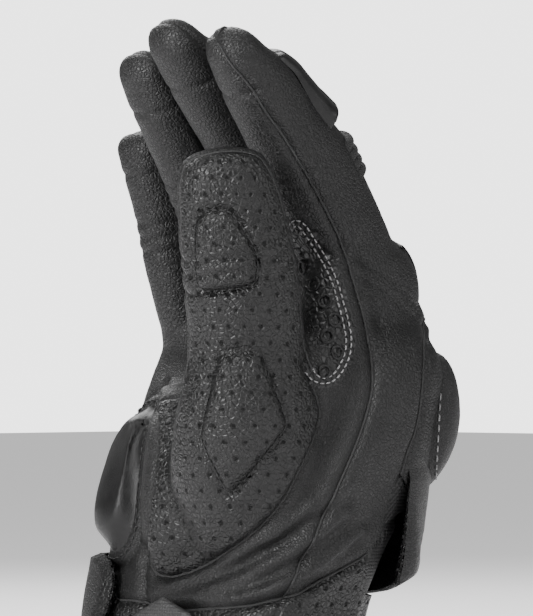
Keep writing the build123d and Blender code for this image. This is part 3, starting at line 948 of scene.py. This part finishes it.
def leather(name, dark, light, rough, grain=1.0, holes=False):
    """Fine pebble grain with smoother high spots and painted shade in the valleys between them; where a panel
    is punched, its holes are painted near black as their shade, with a sunk bump.
    """
    g = Graph(name)
    pebbles = g.spread(g.cells(1.25 * grain), 0.0, 0.24)
    fine = g.noise(0.45 * grain, 3)
    streaks = g.noise(3.4, 3, 0.6)
    worn = g.spread(g.blend(g.noise(22, 3), streaks, 0.55), 0.35, 0.65)
    colour = g.mix(worn, grey(dark), grey(light))
    # painted shade: creases, seam grooves and pad outlines are darkened towards near black
    painted_hollow_shade = g.node("ShaderNodeAttribute", attribute_name="painted_hollow_shade").outputs["Fac"]
    colour = g.mix(g.math("MULTIPLY", painted_hollow_shade, 0.9), colour, grey(0.0008))
    # painted shade: the valleys between the pebbles are painted darker; they are also rougher
    between = g.math("SUBTRACT", 1.0, pebbles)
    colour = g.mix(g.math("MULTIPLY", between, 0.8), colour, grey(dark * 0.3))
    smooth = g.spread(g.blend(fine, streaks, 0.6), 0.35, 0.65, rough - 0.06, rough + 0.08)
    roughness = g.math("ADD", smooth, g.math("MULTIPLY", between, 0.15))
    bumps = [(streaks, 0.16), (pebbles, 0.15 * grain), (fine, 0.09)]
    if holes:
        spot = g.node("ShaderNodeAttribute", attribute_name="punch").outputs["Vector"]
        x, y, _ = g.node("ShaderNodeSeparateXYZ", {0: spot}).outputs
        row = g.math("ABSOLUTE", g.math("FLOOR", g.math("DIVIDE", y, HOLES_UP)))
        shift = g.math("MULTIPLY", g.math("MODULO", row, 2.0), HOLES_ACROSS / 2)
        squares = []
        for value, pitch in ((g.math("ADD", x, shift), HOLES_ACROSS), (y, HOLES_UP)):
            local = g.math("SUBTRACT", g.math("FLOORED_MODULO", value, pitch), pitch / 2)
            squares.append(g.math("MULTIPLY", local, local))
        away = g.math("SQRT", g.math("ADD", *squares))
        hole = g.spread(away, 0.75, 0.5)
        # painted shade: each hole is painted near black as the shade inside it; nothing is cut through
        colour = g.mix(hole, colour, grey(0.001))
        roughness = g.math("MAXIMUM", roughness, hole)
        bumps.insert(0, (g.spread(away, 0.45, 1.1), 0.5))
    return g.finish(colour, roughness, *bumps, Specular_IOR_Level=0.30)


def moulded(name, colour, rough, texture=0.06):
    """Moulded plastic or rubber with a fine spark texture and slightly worn high spots."""
    g = Graph(name)
    broad, fine = g.noise(9, 2), g.noise(0.5, 2)
    tone = g.mix(g.spread(broad, 0.3, 0.7), grey(colour), grey(colour * 1.5))
    roughness = g.spread(g.math("ADD", broad, fine), 0.7, 1.3, rough - 0.06, rough + 0.08)
    return g.finish(tone, roughness, (fine, texture), Specular_IOR_Level=0.24)


def woven(name, colour, size=0.8, rough=0.75):
    """Fine knitted or woven cloth."""
    g = Graph(name)
    x, y, z = g.node("ShaderNodeSeparateXYZ", {0: g.place(size)}).outputs
    across = g.math("SINE", g.math("MULTIPLY", g.math("ADD", x, y), 3.1416))
    up = g.math("SINE", g.math("MULTIPLY", z, 3.1416))
    weave = g.math("ABSOLUTE", g.math("MULTIPLY", across, up))
    fuzz = g.noise(0.4, 3)
    tone = g.mix(g.math("MULTIPLY", weave, 0.7), grey(colour * 0.5), grey(colour * 1.5))
    return g.finish(tone, g.spread(fuzz, 0.2, 0.8, rough - 0.08, rough + 0.1), (weave, 0.18), (fuzz, 0.06))


LEATHER = leather("black_leather", 0.003, 0.008, 0.42)
SMOOTH = leather("smooth_leather", 0.003, 0.007, 0.42, 0.8)
PUNCHED = leather("punched_leather", 0.0025, 0.006, 0.34, 1.25, True)
PLASTIC = moulded("hard_plastic", 0.006, 0.38)
RUBBER = moulded("soft_rubber", 0.004, 0.42, 0.12)
GRIP = leather("grip_rubber", 0.004, 0.012, 0.34, 1.7)
ABRASION = leather("coarse_leather", 0.006, 0.014, 0.45, 0.7)
STRETCH = woven("stretch_cloth", 0.004)
WEBBING = woven("strap_webbing", 0.010, 1.1, 0.6)
LINING = woven("lining_cloth", 0.03, 0.6)
THREAD_WHITE = woven("white_thread", 0.30, 0.35, 0.6)
THREAD_BLACK = woven("black_thread", 0.012, 0.35, 0.6)


# ---- making the pieces

# Height, x and y of the axis that the punched rows run round, and its leather's radius
PUNCH_AXIS = np.array([
    (0, 0, 0, 40), (34, 0, 0, 40), (46, -11, -18, 21), (72, -19, -24, 25), (98, -31, -33, 20),
    (112, -35, -35, 18), (150, -44, -42, 17), (182, -52, -44, 14),
])


def keep(obj, name, kind, field, values):
    """Writes a value for every point, for the material to read."""
    attribute = obj.data.attributes.new(name, kind, "POINT")
    attribute.data.foreach_set(field, values.astype(np.float32).ravel())


def punch_places(p):
    """Where each point lies in the punched pattern: round the thumb's axis and up."""
    x, y, radius = (np.interp(p[:, 2], PUNCH_AXIS[:, 0], column) for column in PUNCH_AXIS.T[1:])
    q = p[:, :2] - np.stack([x, y], 1)
    angle = np.arctan2(q @ RIGHT[:2], q @ TOWARDS[:2])
    # beyond one radian towards the palm, the rows run on along the tangent
    leave = -math.sin(1) * RIGHT[:2] + math.cos(1) * TOWARDS[:2]
    onward = -math.cos(1) * RIGHT[:2] - math.sin(1) * TOWARDS[:2]
    past = np.maximum((q - radius[:, None] * leave) @ onward, 0)
    around = np.where(angle < -1, -radius - past, angle * radius)
    return np.stack([around + 100, p[:, 2], np.zeros(len(p))], 1)


def leather_piece(skin, region, name, material, bodies, replaced):
    tris = skin.regions[region]
    obj = sheet_piece(name, skin.final, skin.normal, tris, LEATHER_THICKNESS)
    # painted shade of the hollows, for the material to darken them
    keep(obj, "painted_hollow_shade", "FLOAT", "value", np.tile(skin.painted_hollow_shade[np.unique(tris)], 2))
    if material is PUNCHED:
        keep(obj, "punch", "FLOAT_VECTOR", "vector", punch_places(read(obj.data.vertices, "co") / MM))
    return finish_piece(obj, material, bodies, replaced)


def far_half(digit):
    """Field that parts a digit at the middle of its near segment."""
    return lambda p: digit.place(p)[0] - 0.5 * digit.near


def above_side(digit, height):
    """Field that parts a digit's back from its front."""
    return lambda p: digit.place(p)[1] - height


thumb_back = above_side(THUMB, 2)
hand = hand_skin()
for region, above, field in (
    ("all", None, lambda p: -p[:, 2]),
    ("all", "thumb_near", thumb_zone),
    ("thumb_near", "thumb_tip", far_half(THUMB)),
    ("thumb_near", "thumb_near_back", thumb_back),
    ("thumb_tip", "thumb_tip_back", thumb_back),
    ("thumb_near_back", "upper_pad", view_outline(UPPER_PAD)),
    ("thumb_tip_back", "upper_pad", view_outline(UPPER_PAD)),
    ("all", "index_near", index_zone),
    ("index_near", "index_tip", far_half(digits["index"])),
    ("index_near", "patch", patch_zone),
    ("index_tip", "patch", patch_zone),
    ("all", "patch", patch_zone),
    ("index_near", "index_near_back", index_back),
    ("index_tip", "index_tip_back", index_back),
    ("all", "cuff", cuff),
    ("cuff", "gusset", v_opening),
    ("all", "gusset", v_opening),
    ("cuff", "cuff_back", lambda p: np.minimum(p[:, 0] + 2, (p[:, 0] + p[:, 1]) / math.sqrt(2))),
    ("all", "thenar", thenar),
    ("thenar", "lower_pad", lower_pad_zone),
    ("all", "bump", bump_zone),
    ("all", "strip", strip),
    ("all", "side", side_zone),
    ("all", "back", back_zone),
    ("all", "flange", flange_zone),
    ("strip", "flange", flange_zone),
    ("flange", "slider", slider_zone),
):
    hand.cut(region, above, field)
hand.relief(hand_relief)

knuckle_roots = tuple(f"{name}_root" for name in FINGERS)
HAND_PIECES = [
    ("all", "palm_panel_skin", SMOOTH, ("palm_panel",), "leather"),
    ("side", "thumb_side_skin", LEATHER, ("thumb_side_panel",), "leather"),
    ("back", "back_panel_skin", LEATHER, ("back_panel", *knuckle_roots), "leather"),
    ("strip", "little_side_skin", SMOOTH, ("little_side_strip",), "leather"),
    ("thenar", "thenar_skin", PUNCHED, ("thenar_panel",), "perforated"),
    ("lower_pad", "lower_pad_skin", PUNCHED, ("thumb_lower_pad",), "perforated"),
    ("bump", "wrist_bump_skin", ABRASION, ("wrist_bump",), "leather"),
    ("flange", "slider_flange_skin", SMOOTH, ("palm_slider_flange",), "leather"),
    ("slider", "palm_slider_shell", RUBBER, ("palm_slider",), "hard"),
    ("cuff", "cuff_palm_skin", PUNCHED, ("cuff_palm_panel",), "perforated"),
    ("cuff_back", "cuff_back_skin", LEATHER, ("cuff_back_panel",), "leather"),
]
for region, name, material, replaced, slot in HAND_PIECES:
    piece = leather_piece(hand, region, name, material, "hand", replaced)

for digit_name in ("thumb", "index"):
    digit = digits[digit_name]
    for part, joint in (("near", "knuckle"), ("tip", "middle_joint")):
        for ending, word in (("", "front"), ("_back", "back")):
            node = f"{digit_name}_{part}_{word}"
            looks = (PUNCHED, "perforated") if digit_name == "thumb" and ending else (LEATHER, "leather")
            also = ("web_panel",) if node == "index_near_front" else ()
            leather_piece(hand, f"{digit_name}_{part}{ending}", f"{node}_skin", looks[0],
                          crossing(digit, joint), (node, *also))

knuckle_turn, middle_turn = (crossing(digits["index"], joint) for joint in ("knuckle", "middle_joint"))
thumb_turn, thumb_middle_turn = (crossing(THUMB, joint) for joint in ("knuckle", "middle_joint"))
leather_piece(hand, "patch", "web_patch_skin", GRIP, knuckle_turn, ("web_grip_patch",))
upper_pad = leather_piece(hand, "upper_pad", "upper_pad_skin", PUNCHED, thumb_middle_turn,
                          ("thumb_upper_pad",))

for name in FINGERS[1:]:
    digit = digits[name]
    skin = finger_skin(digit)
    for region, above, field in (
        ("all", "tip", far_half(digit)),
        ("all", "near_back", above_side(digit, -1.5)),
        ("tip", "tip_back", above_side(digit, -1.5)),
    ):
        skin.cut(region, above, field)
    skin.relief(finger_relief(digit))
    for region, node, joint in (
        ("all", "near_front", "knuckle"), ("near_back", "near_back", "knuckle"),
        ("tip", "tip_front", "middle_joint"), ("tip_back", "tip_back", "middle_joint"),
    ):
        leather_piece(skin, region, f"{name}_{node}_skin", LEATHER, crossing(digit, joint), (f"{name}_{node}",))

ON_HAND = ("all", "back", "side", "strip", "cuff", "cuff_back", "gusset", "flange", "bump", "slider")
lined = np.concatenate([hand.regions[region] for region in (*ON_HAND, "thenar", "lower_pad")])
inside_shape = smoothed(hand.rest, lined, 6)
lining = sheet_piece("glove_lining", inside_shape, normals_of(inside_shape, lined), lined, 0.8, -2.8)
finish_piece(lining, LINING, "hand", ("palm_lining", "back_lining"))
gusset = sheet_piece("wrist_gusset", hand.final, hand.normal, hand.regions["gusset"], 0.7, -1.9)
finish_piece(gusset, WEBBING)


# ---- sewn-on and moulded parts

def overlay(name, field, heights, edge, material, even=14, fall=0.0, stand=0.0, roll=0.0):
    """Separate layer over part of the hand, between two heights, with a rounded or rolled edge."""
    tris = np.concatenate([hand.regions[region] for region in ON_HAND])
    over = Skin(smoothed(hand.rest, tris, even), tris)
    over.cut("all", "over", field)
    p, tris = over.rest, over.regions["over"]
    normal = normals_of(smoothed(p, over.tris(), 60), over.tris())
    low, high = heights
    f = field(p)
    lift = low + (high - low) * (0.35 + 0.65 * ramp(f, -0.1, edge) ** 0.5)
    lift += roll * (hump(f - 3.2, 3.4) - 0.7 * hump(f - 7.2, 1.0))
    # the layer falls back to the hand towards its top, and stands off it towards the thumb
    kept = 1 - fall * ramp(p[:, 2], 42, 74)
    off = stand * ramp(-p[:, 1], 5, 35)
    sunk = fall * 2.6 * ramp(p[:, 2], 68, 75) * ramp(-p[:, 1], 20, 32)
    low, lift = (low + off) * kept - sunk, (lift + off) * kept - sunk
    obj = sheet_piece(name, p, normal, tris, lift - low, lift)
    finish_piece(obj, material, "hand", (name.rsplit("_", 1)[0],))


def side_outline(outline, least_x=-200.0, most_x=200.0):
    """Field of an outline given across the hand and up."""
    line = rounded(outline, 2)

    def field(p):
        return least(inside(line, p[:, 1:]), p[:, 0] - least_x, most_x - p[:, 0])
    return field


flap_side = side_outline(
    [(-90, 31), (20, 31), (32, 44), (32, 66), (10, 75), (-30, 75), (-46, 74), (-90, 74)], 20)
flap_seen = rounded([(-80, 31), (28, 31.2), (36, 32.4), (41, 34), (44.5, 36.5), (49, 40), (56, 44), (80, 60),
                     (80, 120), (-80, 120)], 1)
overlay("cuff_flap_leather", lambda p: least(flap_side(p), inside(flap_seen, seen(p)[0])), (2.0, 6.4),
        3.2, SMOOTH, 10, 0.85, 4.0, 0.8)
tab_side = side_outline([(24, 34), (34, 44), (90, 44), (90, 14), (34, 14)])
overlay("little_cuff_tab_leather", tab_side, (2.6, 7.2), 2.2, LEATHER)
anchor_side = side_outline([(21.2, 2), (28, 18), (64, 12), (64, 0.5)], -200, 0)
overlay("strap_anchor_web", anchor_side, (0.2, 2.4), 0.8, STRETCH)


def grid_sheet(name, p, rows, columns, low, lift):
    """Closed sheet over a grid of points."""
    i = np.arange(rows * columns).reshape(rows, columns)
    a, b, c, d = i[:-1, :-1].ravel(), i[:-1, 1:].ravel(), i[1:, 1:].ravel(), i[1:, :-1].ravel()
    tris = np.concatenate([np.stack([a, b, c], 1), np.stack([a, c, d], 1)])
    base = normals_of(p, tris)
    outer = p + base * np.ravel(lift)[:, None]
    return closed_sheet(name, outer, normals_of(outer, tris), p + base * low, -base, tris)


def on_back(digit, lengths, spread, columns):
    """Grid of points on the back of a digit, and each one's share across it and along it."""
    centre, _, back = digit.path(lengths)
    past = ramp(lengths, digit.near - 4, digit.near + 10)
    end = digit.near + 0.75 * digit.tip
    taper = 1 - 0.16 * ramp(lengths, end - 14, end)
    swell = np.interp(lengths, *zip(*digit.swell))
    depth = (digit.depth - 1.9 * past + swell - droop(digit, lengths)) * taper
    breadth = (digit.breadth - 0.8 * past) * taper
    share = np.linspace(-1, 1, columns)
    up = (back * depth[:, None])[:, None] * np.cos(spread * share)[:, None]
    across = digit.side * (breadth[:, None] * np.sin(spread * share))[..., None]
    points = (centre[:, None] + up + across).reshape(-1, 3)
    along = (lengths - lengths[0]) / (lengths[-1] - lengths[0])
    return points, np.tile(share, len(lengths)), np.repeat(along, columns)


RIBS, RIB_PITCH = 4, 3.4
for name in FINGERS:
    digit = digits[name]
    scale = digit.tip / digits["index"].tip
    lengths = np.linspace(digit.near + 5 * scale, digit.near + 36 * scale, 34)
    p, across, t = on_back(digit, lengths, 0.98, 31)
    rim_fall = 1 - np.maximum(np.abs(across), np.abs(2 * t - 1) ** 1.5) ** 10
    lift = 0.5 + (5.6 - 3.6 * ramp(t, 0, 0.9)) * rim_fall * (1 - 0.35 * across ** 2)
    lift += 0.5 * hump(t - 0.05, 0.05) * rim_fall
    lift -= 0.45 * hump(np.abs(across) - 0.55, 0.05) * ramp(t, 0.1, 0.2)
    shell = grid_sheet(f"{name}_slider_shell", p, 34, 31, 0.1, lift)
    finish_piece(shell, PLASTIC, f"{name}_tip", (f"{name}_slider",))
    end = digit.near - 2.5
    p, across, t = on_back(digit, np.linspace(end - RIBS * RIB_PITCH, end, 49), 0.9, 25)
    lift = 0.2 + (0.4 + 1.9 * np.abs(np.sin(np.pi * t * RIBS)) ** 0.7) * (1 - across ** 8)
    panel = grid_sheet(f"{name}_accordion_ribs", p, 49, 25, -0.6, lift)
    finish_piece(panel, STRETCH, f"{name}_near", (f"{name}_accordion",))

# Strap and the hook tape under it
STRAP_TILT = math.radians(25)
STRAP_LONG, STRAP_STRAIGHT, STRAP_WIDE = 38.0, 29.0, 16.0
strap_run = np.array([0, -math.cos(STRAP_TILT), math.sin(STRAP_TILT)])
strap_rise = np.array([0, math.sin(STRAP_TILT), math.cos(STRAP_TILT)])
strap_low, strap_high = (np.array(v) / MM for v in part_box("strap"))
strap_corner = np.array([strap_high[0], strap_high[1] - STRAP_WIDE * math.sin(STRAP_TILT), strap_low[2]])


def strap_grid(start, end, inset, back=0.0):
    """Points over the strap's inner face, with each one's share along and across."""
    u, v = np.meshgrid(np.linspace(0, 1, 60), np.linspace(0, 1, 27))
    along = (start + (end - start) * u).ravel()
    top = np.interp(along, [0, STRAP_STRAIGHT, STRAP_LONG], [STRAP_WIDE, STRAP_WIDE, 6.2]) - inset
    bottom = np.interp(along, [0, STRAP_STRAIGHT, STRAP_LONG], [0, 0, 3.8]) + inset
    across = bottom + (top - bottom) * v.ravel()
    sag = 0.5 * np.sin(along / STRAP_LONG * math.pi)
    p = strap_corner + along[:, None] * strap_run + across[:, None] * strap_rise + [[back, 0, 0]]
    return p - sag[:, None] * [[1.0, 0, 0]], 2 * u.ravel() - 1, 2 * v.ravel() - 1


p, u, v = strap_grid(0.3, STRAP_LONG, 0.0)
lift = 0.5 + 1.8 * (1 - np.abs(v) ** 8) * (1 - np.abs(u) ** 24)
lift -= 0.35 * hump(np.abs(v) - 0.76, 0.05) + 0.35 * hump(np.abs(u) - 0.93, 0.02) * (np.abs(v) < 0.76)
strap_web = grid_sheet("strap_web", p, 27, 60, 0.0, lift)
finish_piece(strap_web, WEBBING, "strap", ("strap",))
p, u, v = strap_grid(8, 28, 2.0, 1.8)
tape = grid_sheet("hook_tape", p, 27, 60, 0.1, 0.4 + 1.0 * (1 - np.abs(v) ** 10) * (1 - np.abs(u) ** 14))
finish_piece(tape, WEBBING, "strap", ("hook_pad",))

# Knuckle guard: one moulded bridge with a rise over each knuckle, across the hand and round its axis
GUARD_MIDDLE, GUARD_TURN, GUARD_FLAT = -11, 0.401, 0.36
RISE_APART, FIRST_RISE = 24.7, -37
y, turn = (values.ravel() for values in np.meshgrid(
    np.linspace(-44, 22, 70), np.radians(np.linspace(-10, 56, 34)), indexing="ij"))
off_middle, off_turn = np.abs(y - GUARD_MIDDLE), np.abs(turn - GUARD_TURN)
radius = 20.6 - 6.0 * ramp(off_middle, 16, 38)
p = np.stack([20.5 + radius * np.cos(turn), y, 129.5 + radius * np.sin(turn)], 1)
side_fall = 1 - np.clip(off_middle / 33.0, 0, 1) ** 16
end_fall = 1 - np.clip(off_turn / 0.576, 0, 1) ** 8
rises = 0.5 + 0.5 * np.cos((y - FIRST_RISE) * 2 * np.pi / RISE_APART)
off_rise = np.abs(np.mod(y - FIRST_RISE + RISE_APART / 2, RISE_APART) - RISE_APART / 2)
lift = 0.4 + (1.5 + 2.6 * rises) * side_fall * end_fall
lift -= 0.8 * hump((off_turn - GUARD_FLAT) * 20, 0.7) * side_fall
lift -= 0.6 * hump(off_rise - 9.5, 0.6) * (off_turn < GUARD_FLAT)
guard = grid_sheet("knuckle_guard_shell", p, 70, 34, -1.0, lift)
finish_piece(guard, PLASTIC, "hand", ("knuckle_guard", "knuckle_foam"))


# ---- stitching

def contour(p, normal, tris, value):
    """Open or closed lines where a value is zero, each with its normals."""
    links = {}
    for i, j, k in np.stack(crossed(tris, value), 1).tolist():
        one, two = (min(i, j), max(i, j)), (min(i, k), max(i, k))
        links.setdefault(one, []).append(two)
        links.setdefault(two, []).append(one)
    lines, left = [], set(links)
    for start in sorted(links, key=lambda key: len(links[key]) > 1):  # the ends of open lines first
        line, ahead = [], [start]
        while ahead := [key for key in ahead if key in left]:
            line.append(ahead[0])
            left.discard(ahead[0])
            ahead = links[ahead[0]]
        if line:
            low, high = np.array(line).T
            t = (value[low] / (value[low] - value[high]))[:, None]
            lines.append([rows[low] * (1 - t) + rows[high] * t for rows in (p, normal)])
    return lines


def seam_rows(region, field, *offsets):
    """Lines beside a seam, on one region of the hand's skin."""
    value = field(hand.rest)
    return [line for d in offsets for line in contour(hand.final, hand.normal, hand.regions[region], value - d)]


def long_enough(lines, least):
    """Each line's length, and its points and normals as functions of the length along it."""
    for line in lines:
        run = np.concatenate([[0], np.cumsum(np.linalg.norm(np.diff(line[0], axis=0), axis=1))])
        if run[-1] >= least:
            yield run[-1], *(
                lambda at, rows=rows: np.stack([np.interp(at, run, column) for column in rows.T], -1)
                for rows in line
            )


def thread(name, solids, material, bodies):
    finish_piece(write_mesh(name, *joined(map(ring_solid, solids))), material, bodies)


def stitches(name, lines, material, bodies, pitch=2.9, length=2.1, radius=0.27):
    """Short threads along lines, half sunk into the leather."""
    made = []
    for total, point, normal in long_enough(lines, 12):
        for middle in np.arange(pitch / 2, total - length / 2, pitch):
            centre = point(middle + np.array([-0.5, -0.36, 0, 0.36, 0.5]) * length)
            out = unit(normal(middle))
            across = np.cross(unit(centre[-1] - centre[0]), out)
            made.append([
                oval(c + out * rise, out, across, radius * size, radius * size, 6)
                for c, size, rise in zip(centre, (0.35, 0.9, 1.0, 0.9, 0.35), (-0.15, 0.2, 0.3, 0.2, -0.15))
            ])
    thread(name, made, material, bodies)


def seam_cord(name, lines, bodies, radius=0.42):
    """Dark thread drawn into a seam."""
    made = []
    for total, point, normal in long_enough(lines, 10):
        places = np.linspace(0, total, max(4, int(total / 1.3)))
        centre, out = point(places), unit(normal(places))
        along = unit(np.gradient(centre, axis=0))
        made.append([
            oval(c + n * 0.12, n, np.cross(t, n), radius, radius, 6) for c, n, t in zip(centre, out, along)
        ])
    thread(name, made, THREAD_BLACK, bodies)


for name, region, field, bodies in (
    ("side", "side", side_zone, "hand"),
    ("thenar", "thenar", thenar, "hand"),
    ("cuff", "cuff", cuff, "hand"),
    ("index_near", "index_near_back", index_back, knuckle_turn),
    ("index_tip", "index_tip_back", index_back, middle_turn),
    ("thumb_near", "thumb_near_back", thumb_back, thumb_turn),
    ("thumb_tip", "thumb_tip_back", thumb_back, thumb_middle_turn),
):
    seam_cord(f"{name}_seam", seam_rows(region, field, 0.15), bodies)

BUMP_ROW = np.array([(65.2, 108), (64.6, 95), (63.9, 82), (63.2, 70)])
bump_seen, bump_near = seen(hand.final)
bump_tris = hand.regions["bump"]
bump_tris = bump_tris[(bump_near[bump_tris] > 3.5).all(1)]
bump_row = contour(hand.final, hand.normal, bump_tris, beside(BUMP_ROW, bump_seen))
upper_row = seam_rows("upper_pad", view_outline(UPPER_PAD), 0.5)
stitches("web_patch_stitches", seam_rows("patch", patch_zone, 1.6, 3.3), THREAD_WHITE, knuckle_turn, 2.3, 1.7)
stitches("bump_stitches", bump_row, THREAD_WHITE, "hand", 3.4, 2.5)
stitches("flange_stitches", seam_rows("flange", flange_zone, 1.4), THREAD_BLACK, "hand")
stitches("upper_pad_stitches", upper_row, THREAD_BLACK, thumb_middle_turn, 2.4, 1.8)
stitches("lower_pad_stitches", seam_rows("lower_pad", lower_pad_zone, 0.5), THREAD_BLACK, "hand", 2.4, 1.8)


# ---- rings of the web patch

def torus(centre, x_dir, y_dir, out, major, minor, turns=20, sides=8):
    points, faces = [], []
    for i in range(turns):
        t = 2 * math.pi * i / turns
        spoke = x_dir * math.cos(t) + y_dir * math.sin(t)
        points.append(oval(centre + spoke * major, spoke, out, minor, minor, sides))
        this, following = i * sides, (i + 1) % turns * sides
        for j in range(sides):
            k = (j + 1) % sides
            faces.append((this + j, this + k, following + k, following + j))
    return np.concatenate(points), faces


RING_UP, RING_ACROSS = 5.6, 6.6  # spacing of the rings, every other row shifted by half
patch_used = np.unique(hand.regions["patch"])
patch_seen = seen(hand.rest[patch_used])[0]
made = []
for row, z in enumerate(np.arange(97, 152, RING_UP)):
    for u in np.arange(11 + RING_ACROSS / 2 * (row % 2), 40, RING_ACROSS):
        gap = np.linalg.norm(patch_seen - (u, z), axis=1)
        if inside(PATCH, np.array([[u, z]]))[0] < 5.2 or gap.min() > 1.6:
            continue
        at = patch_used[gap.argmin()]
        out = hand.normal[at]
        x_dir = unit(np.cross(Z, out))
        made.append(torus(hand.final[at] + out * 0.1, x_dir, np.cross(out, x_dir), out, 2.0, 0.5))
finish_piece(write_mesh("web_patch_rings", *joined(made)), RUBBER, knuckle_turn)


# ---- carried-over CAD nodes

for obj in frame["nodes"].values():
    if not obj.material_slots:
        obj.data.materials.append(LEATHER)
    for place in obj.material_slots:
        place.material = LEATHER


# ---- camera, light and floor

def look(obj, target):
    obj.rotation_euler = (Vector(target) - obj.location).to_track_quat("-Z", "Y").to_euler()


target = (RIGHT * EYE_ACROSS + np.array([0, 0, EYE_HEIGHT])) * MM
camera = add("camera", bpy.data.cameras.new("camera"))
camera.location = target + TOWARDS * EYE_DISTANCE * MM
camera.data.sensor_width = 36
camera.data.lens = 36 * EYE_DISTANCE / VIEW_HEIGHT
camera.data.clip_start = 0.05
look(camera, target)
bpy.context.scene.camera = camera


def softbox(name, azimuth, elevation, distance, size, power):
    lamp = add(name, bpy.data.lights.new(name, "AREA"))
    a, e = math.radians(azimuth), math.radians(elevation)
    out = np.array([math.sin(a) * math.cos(e), -math.cos(a) * math.cos(e), math.sin(e)])
    centre = np.array([0, 0, 0.11])
    lamp.location = centre + out * distance
    lamp.data.size = size
    lamp.data.energy = power
    look(lamp, centre)


softbox("key", -88, 16, 0.9, 0.2, 13)
softbox("fill", 15, 25, 1.1, 0.7, 7)
softbox("top", -60, 62, 0.9, 0.45, 8)
softbox("rear", 150, 40, 1.0, 0.7, 9)

world = bpy.data.worlds.new("studio")
bpy.context.scene.world = world
world.use_nodes = True
tree = world.node_tree
background = tree.nodes["Background"]
background.inputs[0].default_value = (1, 1, 1, 1)
seen_directly = tree.nodes.new("ShaderNodeLightPath").outputs["Is Camera Ray"]
strength = tree.nodes.new("ShaderNodeMapRange")
strength.inputs["To Min"].default_value = 0.24
strength.inputs["To Max"].default_value = 3.2
tree.links.new(seen_directly, strength.inputs["Value"])
tree.links.new(strength.outputs[0], background.inputs[1])

low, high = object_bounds()
bpy.ops.mesh.primitive_plane_add(size=8, location=(0, 0, low.z - 0.001))
floor = bpy.context.object
floor.name = "floor"
paint = Graph("floor_paint")
floor.data.materials.append(paint.finish(grey(0.9), 0.7, Emission_Color=(1, 1, 1, 1), Emission_Strength=0.45))
